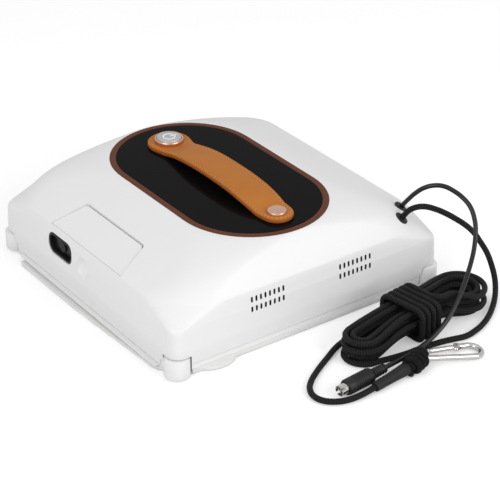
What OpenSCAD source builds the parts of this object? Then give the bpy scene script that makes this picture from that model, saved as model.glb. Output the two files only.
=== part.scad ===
// Window cleaning robot: a square suction body on two crawler tracks, with a leather carrying strap,
// a coiled safety rope with a snap hook, and a power cable.
// +X runs to the rear, -X is the spraying front, +Z is away from the glass, and the glass is at z = 0.

/* [Cover] */
// Width of the cover across its widest line
cover_w = 238.6; // [230:0.2:250]
// Thickness of the moulded cover
wall_t = 2.4; // [2:0.1:3]
// Height of the cover's lower edge
foot_z = 8.5; // [8:0.1:9.5]
// Height of the widest line of the walls
waist_z = 21; // [20:0.5:24]
// Height where the round column of each corner ends
column_z = 38.5; // [34:0.5:42]
// Height of the crest where the walls meet the top
crest_z = 51; // [48:0.5:55]
// Height of the flat deck
deck_z = 74.7; // [73:0.1:80]
// How far the lower edge is drawn in
foot_in = 1.7; // [0.5:0.1:2.5]
// How far the column end is drawn in
column_in = 0.7; // [0.3:0.1:1.5]
// How far the crest is drawn in
crest_in = 1.8; // [1:0.1:3]
// Radius of the upright corners
corner_r = 9; // [7:0.5:12]
// Radius of the corners of the crest
crest_r = 45; // [35:1:50]
// Width of the long slopes between the walls and the deck
slope_w = 60.1; // [56:0.1:62]
// Width of the short slopes at the deck's round ends
slope_end_w = 17.6; // [14:0.1:20]
// How much the corner radius shrinks halfway up the crown
belly = 22; // [10:1:24]
// Curvature of the crown, 1 is straight
crown_share = 1.15; // [1:0.05:1.5]

/* [Deck panel] */
// How far the copper trim lies inside the deck's edge
trim_in = 1.2; // [0.6:0.1:3]
// Width of the trim's own band
trim_band = 5; // [3:0.5:7]
// Thickness of the trim and the glossy panel
panel_t = 3; // [2:0.1:4]
// How far the trim stands above the deck
trim_proud = 0.3; // [0:0.1:1]

/* [Handle strap] */
// Distance of the power button from the deck's end
button_in = 36.7; // [34:0.1:40]
// Distance of the rivet from the deck's other end
rivet_in = 26.2; // [24:0.1:30]
// Radius of the strap's end round the button
strap_button_r = 17; // [15:0.5:19]
// Radius of the strap's end round the rivet
strap_rivet_r = 11; // [10:0.5:13]
// Half width of the strap's middle
strap_half_w = 14.5; // [12:0.5:17]
// Half width of the neck next to the button
strap_neck_half_w = 13.5; // [11:0.5:15]
// Thickness of the leather
strap_t = 3.3; // [2.5:0.1:4]
// Height of the finger gap under the strap
strap_rise = 6.6; // [5:0.1:12]

/* [Power button] */
// Diameter of the button
button_d = 20.2; // [16:0.2:22]
// Diameter across the bezel
bezel_d = 22.6; // [21.8:0.2:26]
// Height of the bezel above the leather
bezel_h = 3.2; // [3:0.1:4]
// Travel of the button
button_travel = 1; // [0.5:0.1:1.2]
// Diameter of the rivet's head
rivet_d = 14.5; // [12:0.5:16]
// Height of the rivet's head
rivet_h = 2; // [1.5:0.1:3]

/* [Tank lid] */
// Length of the lid along its outer edge
lid_outer_l = 96; // [86:1:104]
// Length of the lid along its hinged edge
lid_inner_l = 76; // [70:1:82]
// Depth of the lid from the crest to the hinged edge
lid_depth = 27; // [25:0.5:30]
// How far the lid lies below the cover's surface
lid_sink = 0.8; // [0.4:0.1:1.4]
// Thickness of the lid
lid_t = 2.2; // [2:0.1:2.6]
// Gap round the lid
lid_gap = 0.5; // [0.4:0.05:0.8]
// Gap behind the lid's hinged edge
lid_back_gap = 0.9; // [0.8:0.05:1.2]
// Diameter of the hinge pin
hinge_pin_d = 1.6; // [1.4:0.1:1.8]

/* [Spray window and finger scoop] */
// Length of the oval window
window_l = 33; // [28:0.5:36]
// Height of the oval window
window_h = 17; // [14:0.5:18]
// Place of the window along Y
window_y = 33.2; // [30:0.2:36]
// Height of the window's centre
window_z = 37; // [36:0.5:38]
// Width of the finger scoop
scoop_w = 17.5; // [14:0.5:19]
// Depth of the finger scoop
scoop_depth = 4.5; // [3:0.25:5]
// Place of the scoop along Y
scoop_y = 0.5; // [-3:0.5:2]
// Height of the scoop's centre
scoop_z = 35.6; // [34:0.2:38]

/* [Vents] */
// Slots in each row
vent_slots = 8; // [5:1:8]
// Distance from slot to slot
vent_pitch = 3.9; // [3.5:0.1:4.2]
// Width of a slot
vent_slot_w = 1.7; // [1.2:0.1:2]
// Height of a slot
vent_slot_h = 5.2; // [4:0.1:6]
// Height of the lower row's centre
vent_z = 36.3; // [34:0.1:38]
// Distance from row to row
vent_row_step = 7.6; // [6.5:0.1:8]
// Distance of each group's centre from the middle of the wall
vent_group_x = 39; // [34:1:46]

/* [Corner rollers] */
// Diameter of a corner roller
roller_d = 18.5; // [16:0.1:19.5]
// Height of a corner roller
roller_h = 17.7; // [15:0.1:18]
// Clearance of the rollers above the glass
roller_lift = 1; // [0.5:0.1:1.5]
// Distance of the rollers from the cover's widest line
roller_in = 7.3; // [6:0.1:9]
// Gap between a roller and its housing
roller_gap = 1; // [0.8:0.1:1.4]
// Diameter of a roller's screw
roller_pin_d = 4; // [3:0.1:5]

/* [Base and cloth] */
// Thickness of the cloth pad
cloth_t = 3.4; // [2.5:0.1:3.6]
// Width of the cloth's band
cloth_band = 29; // [24:1:32]
// How far the cloth lies inside the cover's lower edge
cloth_in = 2; // [1:0.5:4]
// Thickness of the hook and loop strips
hook_t = 1; // [0.6:0.1:1.2]
// Thickness of the base tray's floor
tray_t = 3; // [2.5:0.1:3.2]
// How far the tray lies inside the cover's lower edge
tray_in = 0.8; // [0.5:0.1:1.5]
// Height of the tray's lip inside the cover
tray_lip_h = 4; // [3:0.5:6]
// Diameter of the base screws
screw_d = 3; // [2.5:0.1:3.5]

/* [Crawler tracks] */
// Outer radius of a belt at its ends
belt_r = 14; // [12.5:0.1:15]
// Thickness of a belt
belt_t = 2.4; // [2:0.1:3]
// Width of a belt
belt_w = 12; // [10:0.5:14]
// Distance between the two pulleys of a track
track_l = 104; // [96:1:108]
// Distance of each track from the middle
track_y = 66; // [64:0.5:68]
// Cross grooves on each straight run
belt_grooves = 17; // [9:1:21]
// Diameter of the axles
axle_d = 5; // [4:0.1:6]
// Thickness of a track's side plates
plate_t = 2.4; // [2:0.1:2.8]

/* [Suction fan] */
// Radius of the impeller
impeller_r = 32; // [28:0.5:33]
// Number of blades
blade_n = 9; // [6:1:11]
// Height of the blades
blade_h = 12; // [9:0.5:13]
// Thickness of a blade
blade_t = 1.4; // [1.2:0.1:1.8]
// Radius of the suction inlet
inlet_r = 21; // [18:0.5:22]
// Radius of the fan motor
fan_motor_r = 17; // [14:0.5:20]
// Height of the fan motor
fan_motor_h = 24; // [18:0.5:26]

/* [Cords] */
// Diameter of the safety rope
rope_d = 4.4; // [4:0.1:4.6]
// Diameter of the power cable
cable_d = 3.6; // [3:0.1:4]
// Layers of loops in the hank
hank_layers = 4; // [2:2:4]
// Turns of the wrapping round the hank's waist
hank_wraps = 5; // [3:1:6]
// Sideways step from loop to loop
hank_step = 5.3; // [5.2:0.1:6]
// Step from layer to layer
hank_rise = 4.9; // [4.8:0.1:5.4]
// Half of the distance between the centres of the hank's two lobes
lobe_u = 50; // [46:1:54]
// Innermost loop radius of the left lobe
left_lobe_r = 5; // [5:0.5:6]
// Innermost loop radius of the right lobe
right_lobe_r = 9; // [7:0.5:10]
// Diameter of the plug's body
plug_d = 12; // [10:0.5:12]
// Length of the plug's body
plug_l = 25; // [20:1:28]
// Diameter of the snap hook's wire
hook_wire_d = 4.2; // [3.6:0.1:4.6]
// Length of the snap hook
hook_l = 51; // [46:1:56]

/* [Hidden] */
CORNERS = ["front_left", "front_right", "rear_left", "rear_right"];
SIDES = ["left", "right"];

// Clearances, and the overrun of every cut
cut = 1;
seat_gap = 0.1;
run_gap = 0.05;
free_gap = 0.3;
$fn = 64;
cap_fn = 32;

// Colours as sRGB
white = [0.94, 0.94, 0.94];
black = [0.1, 0.1, 0.1];
soft_black = [0.05, 0.05, 0.06];
copper = [0.45, 0.26, 0.2];
tan = [0.76, 0.48, 0.2];
rose = [0.85, 0.6, 0.5];
steel = [0.75, 0.76, 0.78];

function lerp(a, b, t) = a + (b - a) * t;
function unit(v) = v / norm(v);
function clamp01(t) = min(1, max(0, t));
function last(v) = v[len(v) - 1];

// Plan of the deck, and the places that follow from it
deck_w = cover_w - 2 * slope_w;
deck_l = cover_w - 2 * slope_end_w;
trim_w = deck_w - 2 * trim_in;
trim_l = deck_l - 2 * trim_in;
button_y = deck_l / 2 - button_in;
rivet_y = rivet_in - deck_l / 2;
roller_place = cover_w / 2 - roller_in;

// Outer shape of the cover: rings of points from the foot to the deck
arc_n = 12;
crown_n = 6;
foot_half = cover_w / 2 - foot_in;
waist_half = cover_w / 2;
column_half = cover_w / 2 - column_in;
crest_half = cover_w / 2 - crest_in;
crest_d = deck_z - crest_z;
function crown_x(t) = lerp(crest_half, deck_w / 2, t);
function crown_y(t) = lerp(crest_half, deck_l / 2, t);
function crown_r(t) = lerp(crest_r, deck_w / 2, t) - belly * sin(180 * t);
function crown_z(t) = crest_z + crest_d * (1 - pow(1 - t, crown_share));
function rounded_ring(hx, hy, r, z, n = arc_n) = [
    for (c = [0:3])
        for (i = [0:n])
            let (a = 90 * (c + i / n), sx = (c == 0 || c == 3) ? 1 : -1, sy = c < 2 ? 1 : -1)
                [sx * (hx - r) + r * cos(a), sy * (hy - r) + r * sin(a), z]];
function outer_rings() = concat(
    [rounded_ring(foot_half, foot_half, corner_r - foot_in / 2, foot_z),
     rounded_ring(waist_half, waist_half, corner_r, waist_z),
     rounded_ring(column_half, column_half, corner_r, column_z)],
    [for (k = [0:crown_n]) let (t = k / crown_n) rounded_ring(crown_x(t), crown_y(t), crown_r(t), crown_z(t))]);

// Inner shape: the outer one drawn in by the wall, and flat under the sunk panel
deck_floor_z = deck_z - panel_t;
inner_n = 6;
inner_crown_n = 4;
inner_top_z = deck_floor_z - wall_t;
inner_r = corner_r - wall_t;
function inner_crown_z(t) = crest_z - wall_t + (inner_top_z - crest_z + wall_t) * (1 - pow(1 - t, crown_share));
function inner_rings() = concat(
    [rounded_ring(foot_half - wall_t, foot_half - wall_t, inner_r, foot_z - cut, inner_n),
     rounded_ring(foot_half - wall_t, foot_half - wall_t, inner_r, foot_z, inner_n),
     rounded_ring(waist_half - wall_t, waist_half - wall_t, inner_r, waist_z, inner_n),
     rounded_ring(column_half - wall_t, column_half - wall_t, inner_r, column_z - wall_t, inner_n)],
    [for (k = [0:inner_crown_n])
        let (t = k / inner_crown_n)
            rounded_ring(crown_x(t) - wall_t, crown_y(t) - wall_t, crown_r(t) - wall_t, inner_crown_z(t), inner_n)]);

module loft(rings) {
    n = len(rings[0]);
    m = len(rings);
    polyhedron(
        points = [for (r = rings) each r],
        faces = concat(
            [[for (i = [0:n - 1]) i]],
            [for (k = [0:m - 2]) for (i = [0:n - 1])
                let (j = (i + 1) % n) each [[k * n + i, k * n + n + i, k * n + n + j],
                                            [k * n + i, k * n + n + j, k * n + j]]],
            [[for (i = [n - 1:-1:0]) (m - 1) * n + i]]));
}

// Flat outlines
module rounded_square(w, l, r) {
    square([w - 2 * r, l], center = true);
    square([w, l - 2 * r], center = true);
    for (sx = [-1, 1])
        for (sy = [-1, 1])
            translate([sx * (w / 2 - r), sy * (l / 2 - r)]) circle(r);
}
module stadium(w, l) {
    square([w, l - w], center = true);
    for (s = [-1, 1])
        translate([0, s * (l - w) / 2]) circle(w / 2);
}
module slab(z0, z1) {
    translate([0, 0, z0]) linear_extrude(z1 - z0) children();
}
module rod(r, z0, z1) {
    translate([0, 0, z0]) cylinder(r = r, h = z1 - z0);
}
module at_corners(place) {
    for (sx = [-1, 1])
        for (sy = [-1, 1])
            translate([sx * place, sy * place, 0]) children();
}

// Tube swept along points, with frames that turn as little as possible
function tangent(path, i) = unit(path[min(i + 1, len(path) - 1)] - path[max(i - 1, 0)]);
function square_to(n, t) = unit(n - (n * t) * t);
function side_of(t) = square_to(abs(t[2]) < 0.9 ? [0, 0, 1] : [1, 0, 0], t);
function sweep_normals(path) = [
    for (i = 0, n = side_of(tangent(path, 0)); i < len(path);
         n = square_to(n, tangent(path, min(i + 1, len(path) - 1))), i = i + 1) n];
function ring_at(path, normals, i, r, sides) =
    let (t = tangent(path, i), n = normals[i], b = cross(t, n))
        [for (k = [0:sides - 1]) let (a = 360 * (k + 0.5) / sides) path[i] + r * (cos(a) * n + sin(a) * b)];
module tube(path, r, sides = 8) {
    normals = sweep_normals(path);
    n = sides;
    m = len(path);
    polyhedron(
        points = [for (i = [0:m - 1]) each ring_at(path, normals, i, r, sides)],
        faces = concat(
            [[for (i = [0:n - 1]) i]],
            [for (k = [0:m - 2]) for (i = [0:n - 1])
                let (j = (i + 1) % n) each [[k * n + i, k * n + n + i, k * n + n + j],
                                            [k * n + i, k * n + n + j, k * n + j]]],
            [[for (i = [n - 1:-1:0]) (m - 1) * n + i]]));
}
// Turns +Z onto a direction
module pointing(v) {
    u = unit(v);
    rotate([0, acos(u[2]), atan2(u[1], u[0])]) children();
}

// Routes of the free cords, counted from the corner that they leave, at the cover's widest line
cord_corner = [waist_half, -waist_half, 0];
function moved(route) = [for (p = route) cord_corner + p];
cable_route = moved([
    [-19.3, 30.3, 51], [-15.3, 26.3, 59], [-13.3, 22.3, 65], [-11.3, 16.8, 72], [-7.8, 11.3, 77.5],
    [-3.3, 6.3, 80], [1.7, 1.3, 80], [6.7, -4.2, 77], [10.2, -10.7, 73], [11.7, -17.7, 68],
    [10.7, -23.7, 62], [8.2, -28.7, 56], [4.7, -32.7, 50], [-0.3, -37.2, 44], [-6.3, -41.7, 39],
    [-13.3, -46.7, 35], [-22.3, -52.7, 30], [-33.3, -58.7, 24], [-44.8, -63.7, 17], [-57.3, -66.7, 11],
    [-70.8, -69.2, 7], [-85.3, -71.7, 6], [-99.3, -73.9, 6], [-113.3, -75.5, 6]]);
rope_route = moved([
    [-29.8, 16.8, 51], [-25.8, 12.8, 59], [-23.3, 9.8, 64], [-20.3, 6.3, 67], [-15.8, 1.3, 68.5],
    [-10.3, -3.7, 67], [-3.3, -7.7, 63], [4.7, -11.2, 57], [11.7, -14.2, 51], [17.7, -17.2, 44],
    [22.2, -20.2, 36], [25.2, -24.7, 28], [26.2, -29.7, 19], [24.7, -35.2, 12], [19.7, -42.2, 7],
    [12.7, -49.2, 4], [3.2, -56.7, 2.2], [-6.3, -63.2, 2.2], [-15.8, -68.2, 2.2], [-26.3, -71.7, 2.2],
    [-36.3, -73.2, 2.2], [-45.3, -71.2, 2.2], [-53.3, -69.2, 2.2], [-61.3, -68, 2.2]]);
tail_route = moved([
    [-105.3, -26.2, 2.2], [-114.3, -28.2, 2.2], [-123.3, -31.7, 2.2], [-133.3, -37.2, 2.2],
    [-143.3, -42.7, 2.2], [-153.3, -48.7, 2.2], [-162.3, -55.2, 2.2], [-168.8, -62.7, 2.2],
    [-171.3, -70.7, 2.2], [-169.3, -78.2, 2.2], [-163.8, -83.7, 2.2], [-155.8, -87.2, 2.2],
    [-147.3, -88.7, 2.8], [-139.3, -88.7, 3.4], [-132.3, -88, 4]]);

// The hank lies in its own frame: u along its axis, v across, w up
hank_place = cord_corner + [-61.3, -41.7, 0];
hank_turn = 7;
turns_per_layer = 2;
waist_u = 20;
waist_v = 2.7;
rope_r = rope_d / 2;
cable_r = cable_d / 2;
loop_rings = 24;
run_rings = 4;
end_rings = 8;
top_layer = hank_layers - 1;
function hank_v(q, r0) = r0 + q * hank_step;
function run_u(i) = i == 0 ? lobe_u : i == 1 ? waist_u : i == 2 ? 0 : i == 3 ? -waist_u : -lobe_u;
// Half width of the loop q steps out, on a run at place u
function run_v(q, u) =
    lerp(hank_v(q, waist_v), hank_v(q, u > 0 ? right_lobe_r : left_lobe_r),
         clamp01((abs(u) - waist_u) / (lobe_u - waist_u)));
// The loops lie on the glass at the lobes and one rise above it at the waist
function bed_w(u) = rope_r + hank_rise * clamp01((lobe_u - abs(u)) / (lobe_u - waist_u));
function loop_point(turn, ring) =
    let (layer = floor(turn / turns_per_layer),
         f = turn - layer * turns_per_layer + ring / loop_rings,
         q = layer % 2 == 0 ? turns_per_layer - f : f,
         climbs = turn % turns_per_layer == 0 && turn > 0,
         w = hank_rise * (layer - (climbs ? 1 - clamp01(ring / run_rings) : 0)))
        ring <= run_rings
            ? let (u = run_u(ring)) [u, -run_v(q, u), bed_w(u) + w]
            : ring < run_rings + end_rings
                ? let (a = 180 * (ring - run_rings) / end_rings, r = hank_v(q, left_lobe_r))
                    [-lobe_u - r * sin(a), -r * cos(a), bed_w(lobe_u) + w]
                : ring <= 2 * run_rings + end_rings
                    ? let (u = -run_u(ring - run_rings - end_rings)) [u, run_v(q, u), bed_w(u) + w]
                    : let (a = 180 * (ring - 2 * run_rings - end_rings) / end_rings, r = hank_v(q, right_lobe_r))
                        [lobe_u + r * sin(a), r * cos(a), bed_w(lobe_u) + w];
hank_turns = hank_layers * turns_per_layer;
hank_loops = [
    for (t = [0:hank_turns - 1])
        for (i = [t == 0 ? run_rings : 0:loop_rings - 1]) loop_point(t, i)];

// The wrapping goes round the waist on a rounded rectangle, one rise outside the loops
wrap_v = hank_v(turns_per_layer, waist_v);
wrap_w0 = rope_r + hank_rise;
wrap_w1 = wrap_w0 + top_layer * hank_rise;
wrap_pitch = 5.6;
wrap_u0 = 13;
wrap_top_rings = 4;
wrap_side_rings = 2;
wrap_arc_rings = 3;
// One turn, from the front of the top over to the back, under and up
wrap_outline = concat(
    [for (i = [0:wrap_top_rings]) [lerp(-wrap_v, wrap_v, i / wrap_top_rings), wrap_w1 + hank_rise]],
    [for (i = [1:wrap_arc_rings])
        let (a = 90 - 90 * i / wrap_arc_rings) [wrap_v + hank_rise * cos(a), wrap_w1 + hank_rise * sin(a)]],
    [for (i = [1:wrap_side_rings]) [wrap_v + hank_rise, lerp(wrap_w1, wrap_w0, i / wrap_side_rings)]],
    [for (i = [1:wrap_arc_rings])
        let (a = -90 * i / wrap_arc_rings) [wrap_v + hank_rise * cos(a), wrap_w0 + hank_rise * sin(a)]],
    [for (i = [1:wrap_top_rings]) [lerp(wrap_v, -wrap_v, i / wrap_top_rings), wrap_w0 - hank_rise]],
    [for (i = [1:wrap_arc_rings])
        let (a = -90 - 90 * i / wrap_arc_rings) [-wrap_v + hank_rise * cos(a), wrap_w0 + hank_rise * sin(a)]],
    [for (i = [1:wrap_side_rings]) [-wrap_v - hank_rise, lerp(wrap_w0, wrap_w1, i / wrap_side_rings)]],
    [for (i = [1:wrap_arc_rings - 1])
        let (a = 180 - 90 * i / wrap_arc_rings) [-wrap_v + hank_rise * cos(a), wrap_w1 + hank_rise * sin(a)]]);
wrap_n = len(wrap_outline);
wrap_last = (hank_wraps - 1) * wrap_n + wrap_top_rings + wrap_arc_rings + wrap_side_rings;
hank_wrapping = [
    for (k = [1:wrap_last])
        let (p = wrap_outline[k % wrap_n]) [wrap_u0 - wrap_pitch * k / wrap_n, p[0], p[1]]];
// How the tube comes in from the rope, climbs to the wrapping and leaves for the tail
lift_w = wrap_w1 + hank_rise;
hank_entry = [[-14, -23.5, 2.2], [-26, -21.5, 2.2], [-38, -18.5, 2.2]];
hank_lift = [[lobe_u, -run_v(turns_per_layer, lobe_u), bed_w(lobe_u) + top_layer * hank_rise],
             [36, -16.5, 22.5], [26, -14, lift_w], [18, -12.5, lift_w]];
hank_leave = [[-16, 19.5, 3.5], [-24, 20.5, 2.2], [-34, 20.9, 2.2]];
function hank_world(p) =
    [hank_place[0] + p[0] * cos(hank_turn) - p[1] * sin(hank_turn),
     hank_place[1] + p[0] * sin(hank_turn) + p[1] * cos(hank_turn), p[2]];
hank_path = concat(
    [last(rope_route)],
    [for (p = concat(hank_entry, hank_loops, hank_lift, hank_wrapping, hank_leave)) hank_world(p)],
    [tail_route[0]]);
// Least gap of the tube to itself, leaving out each point's own neighbours along the tube
near_rings = 4;
hank_gap = min([for (i = [0:len(hank_path) - 1 - near_rings])
    min([for (j = [i + near_rings:len(hank_path) - 1]) norm(hank_path[i] - hank_path[j])])]) - rope_d;
echo(hank_rings = len(hank_path), hank_self_gap = hank_gap);

// Base stack, from the glass up
cloth_half = foot_half - cloth_in;
cloth_inner_r = 6;
tray_z = cloth_t + hook_t;
tray_half = foot_half - tray_in;
tray_top_z = foot_z - free_gap;
tray_floor_z = tray_z + tray_t;
lip_half = foot_half - wall_t - free_gap;
lip_t = 2;
tray_rim = tray_half - lip_half + lip_t;
notch_r = roller_d / 2 + roller_gap;
notch_top_z = roller_lift + roller_h + roller_gap;
roof_t = 2.5;
strip_l = 150;
strip_w = 18;
// The cloth bulges out beside the front left roller
flap_x = -80;
flap_l = 34;
flap_out = 4.5;
flap_r = (pow(flap_l / 2, 2) + pow(flap_out, 2)) / (2 * flap_out);

// Corner rollers on shoulder screws
roller_r = roller_d / 2;
pin_r = roller_pin_d / 2;
pin_head_r = 3.6;
pin_head_h = 2.2;
pin_head_in = 1.2;
pin_head_gap = 0.5;
pin_head_z = roller_lift + pin_head_in;
roller_sink_r = pin_head_r + pin_head_gap;
roller_seat_z = pin_head_z + pin_head_h + seat_gap;
roller_chamfer = 0.8;
pin_grip = 9;
boss_r = 5;

// Screws that hold the tray to the cover
screw_r = screw_d / 2;
screw_head_r = 2.8;
screw_head_h = 1.8;
screw_head_in = 0.2;
screw_head_z = tray_z + screw_head_in;
screw_grip = 8;
screw_boss_r = 4;
screw_place = foot_half - wall_t - screw_boss_r - free_gap;
screw_along = 62;

// Optical edge sensors look down through the tray
sensor_w = 10;
sensor_l = 7;
sensor_place = 79;

// Deck: strap, bezel and rivet pass through the panel
strap_z = deck_z + trim_proud;
strap_top_z = strap_z + strap_t;
bezel_r = bezel_d / 2;
button_r = button_d / 2;
sleeve_r = 9.6;
sleeve_wall = 1.6;
bezel_floor_t = 0.9;
bezel_round = 0.5;
button_t = 1.6;
button_round = 0.4;
stem_r = 2.5;
nut_t = 2.5;
nut_over = 4;
rivet_r = rivet_d / 2;
rivet_shank_r = 3;
rivet_round = 0.9;
bezel_floor_z = strap_top_z + bezel_floor_t;
button_z = bezel_floor_z + button_travel + free_gap;
symbol_t = 0.25;
symbol_r = 4.6;
symbol_line = 1.1;

// Strap outline along Y, and the height of its arch
strap_edge = 0.7;
neck_from_button = 21;
middle_from_button = 47;
shoulder_from_rivet = 25.5;
neck_y = button_y - neck_from_button;
middle_y = button_y - middle_from_button;
shoulder_y = rivet_y + shoulder_from_rivet;
arch_margin = 1;
arch_y0 = rivet_y + rivet_r + arch_margin;
arch_y1 = button_y - bezel_r - 3 * arch_margin;
arch_power = 2.5;
strap_end_n = 10;
strap_mid_n = 14;
function smooth(t) = t * t * (3 - 2 * t);
function strap_lift(y) =
    let (m = (arch_y0 + arch_y1) / 2, s = abs(y - m) / ((arch_y1 - arch_y0) / 2))
        s >= 1 ? 0 : strap_rise * (1 - pow(s, arch_power));
// Where the round ends run into the neck and the shoulders
neck_angle = 180 - asin(strap_neck_half_w / strap_button_r);
neck_join_y = button_y + strap_button_r * cos(neck_angle);
function strap_half(y) =
    y > neck_y ? strap_neck_half_w
    : y > shoulder_y ? lerp(strap_half_w, strap_neck_half_w, smooth(clamp01((y - middle_y) / (neck_y - middle_y))))
    : lerp(strap_rivet_r, strap_half_w, smooth(clamp01((y - rivet_y) / (shoulder_y - rivet_y))));
first_angle = 8;
strap_stations = concat(
    [for (i = [0:strap_end_n - 1])
        let (a = lerp(first_angle, neck_angle, i / strap_end_n))
            [button_y + strap_button_r * cos(a), strap_button_r * sin(a)]],
    [[neck_join_y, strap_half(neck_join_y)]],
    [for (i = [0:strap_mid_n])
        let (y = lerp(arch_y1, arch_y0, i / strap_mid_n)) [y, strap_half(y)]],
    [[rivet_y, strap_half(rivet_y)]],
    [for (i = [1:strap_end_n])
        let (a = lerp(90, 180 - first_angle, i / strap_end_n))
            [rivet_y + strap_rivet_r * cos(a), strap_rivet_r * sin(a)]]);
function strap_ring(s) =
    let (z = strap_z + strap_lift(s[0]), w = s[1], e = strap_edge, t = strap_t)
        [for (p = [[-w, e], [-w, t - e], [e - w, t], [w - e, t], [w, t - e], [w, e], [w - e, 0], [e - w, 0]])
            [p[0], s[0], z + p[1]]];

// Tank lid on the front slope, hinged near its inner edge
lid_front_in = 1.6;
lid_front_x = -(crest_half - lid_front_in);
lid_back_x = -(crest_half - lid_depth);
hinge_in = 2;
hinge_x = lid_back_x - hinge_in;
lid_round = 1.6;
knuckle_wall = 0.6;
knuckle_r = hinge_pin_d / 2 + knuckle_wall;
ear_l = 6;
ear_w = 6;
ledge_w = 2.5;
ledge_t = 1.6;
lid_corner_r = 4;
slope_steps = 8;
// Height of the front slope at a place along X, as straight as the rings draw it
function slope_share(x) = clamp01((crest_half + x) / (crest_half - deck_w / 2));
function slope_z(x) =
    let (t = slope_share(x) * crown_n, k = min(floor(t), crown_n - 1))
        lerp(crown_z(k / crown_n), crown_z((k + 1) / crown_n), t - k);
hinge_z = slope_z(hinge_x) - lid_sink - knuckle_r - seat_gap;
hinge_span = lid_inner_l / 2 + lid_gap + ear_l;
ledge_drop = lid_sink + lid_t + free_gap;
// Band under the slope, between two drops
function slope_band(x0, x1, top, bottom) = concat(
    [for (i = [0:slope_steps]) let (x = lerp(x0, x1, i / slope_steps)) [x, slope_z(x) - top]],
    [for (i = [slope_steps:-1:0]) let (x = lerp(x0, x1, i / slope_steps)) [x, slope_z(x) - bottom]]);
module along_y(l) {
    translate([0, l / 2, 0]) rotate([90, 0, 0]) linear_extrude(l) children();
}
// Plan of the lid grown by a margin: wide at the crest, narrower and round at the hinge
module lid_plan(grow, back_grow) {
    x0 = lid_front_x - grow;
    x1 = lid_back_x + back_grow;
    w0 = lid_outer_l / 2 + grow;
    w1 = lid_inner_l / 2 + grow;
    r = lid_corner_r;
    w2 = lerp(w1, w0, r / (x1 - x0));
    polygon([[x0, -w0], [x1 - r, -w2], [x1 - r, w2], [x0, w0]]);
    translate([x1 - r - cut, -w2 + r]) square([r + cut, 2 * (w2 - r)]);
    for (s = [-1, 1])
        translate([x1 - r, s * (w2 - r)]) circle(r);
}

// Slots in the wall towards -Y
module slot(w, h) {
    square([w, h - w], center = true);
    for (s = [-1, 1])
        translate([0, s * (h - w) / 2]) circle(w / 2, $fn = cap_fn);
}
module vent_cuts() {
    for (g = [-1, 1], row = [0, 1], i = [0:vent_slots - 1])
        translate([g * vent_group_x + (i - (vent_slots - 1) / 2) * vent_pitch,
                   -waist_half + 2 * wall_t, vent_z + row * vent_row_step])
            rotate([90, 0, 0]) linear_extrude(2 * wall_t + cut) slot(vent_slot_w, vent_slot_h);
}

// Window and scoop in the wall towards -X
window_r = 7;
window_face_in = 0.9;
window_face_x = -waist_half + window_face_in;
window_depth = 3;
window_frame = 2.2;
window_flange = 1.2;
window_back_in = 4.4;
window_back_x = -waist_half + wall_t + window_back_in;
window_flange_x = -crest_half + wall_t + free_gap;
nozzle_r = 4;
nozzle_tip_r = 0.6;
nozzle_proud = 1;
nozzle_front_x = window_face_x + window_depth - nozzle_proud;
spigot_r = 1.6;
spigot_l = 3;
tube_t = 1;
scoop_r = (pow(scoop_w / 2, 2) + pow(scoop_depth, 2)) / (2 * scoop_depth);
scoop_x = -waist_half + scoop_depth - scoop_r;
module window_plan(grow) {
    rounded_square(window_h + 2 * grow, window_l + 2 * grow, window_r + grow);
}
module through_front(x0, x1) {
    translate([x0, window_y, window_z]) rotate([0, 90, 0]) linear_extrude(x1 - x0) children();
}
module front_rod(r, x0, x1, y, z) {
    translate([x0, y, z]) rotate([0, 90, 0]) cylinder(r = r, h = x1 - x0);
}

// Water tank and pump
tank_x0 = scoop_x + scoop_r + wall_t + free_gap;
tank_w = 30;
tank_y0 = -54;
tank_l = 66;
tank_top_z = 44;
tank_wall = 1.6;
tank_r = 5;
neck_r = 7;
neck_y_shift = -21;
neck_h = 5;
plug_flange_t = 2;
pump_in = 19.5;
pump_x = window_back_x + pump_in;
pump_r = 9;
pump_h = 22;
pump_head_r = 7;
pump_head_h = 11;

// Grommets stand along the first stretch of each cord
grommet_r = 4;
grommet_flange_r = 5.4;
grommet_flange_t = 1.4;
grommet_seat = 6.7;
grommet_inner_z = 1.2;
module at_route(route) {
    translate(route[0]) pointing(route[1] - route[0]) children();
}

// Circuit board under the deck
post_r = 3;
post_x = 50;
board_z = 59.5;
board_t = 1.6;
board_w = 116;
board_y0 = -42;
board_past_button = 13;
board_y1 = button_y + board_past_button;
switch_w = 12;
switch_h = 3.3;
switch_top_z = board_z + board_t + switch_h;
chip_w = 14;
chip_t = 1.5;
socket_w = 22;
socket_l = 9;
socket_h = 7;

// Tracks along X
axle_r = axle_d / 2;
belt_inner_r = belt_r - belt_t;
groove_w = 1.8;
groove_d = 0.6;
end_grooves = 7;
rim_r = belt_inner_r - seat_gap;
flange_h = 1.2;
flange_r = belt_inner_r + flange_h;
flange_t = 1.4;
flange_gap = 0.2;
pulley_half = belt_w / 2 + flange_gap + flange_t;
web_r = 9.4;
web_in = 3.4;
hub_r = 4.6;
web_holes = 5;
web_hole_r = 1.7;
plate_in = pulley_half + 2 * free_gap;
plate_out = plate_in + plate_t;
plate_half_h = 10;
plate_hole_r = 5;
plate_hole_x = 20;
tie_r = 3.5;
axle_head_r = 4;
axle_head_t = 1.2;
gearbox_l = 20;
gearbox_w = 26;
gearbox_top_z = 33;
motor_r = 10;
motor_z = 21;
motor_l = 30;
motor_cap_r = 5;
motor_cap_l = 2;

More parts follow.
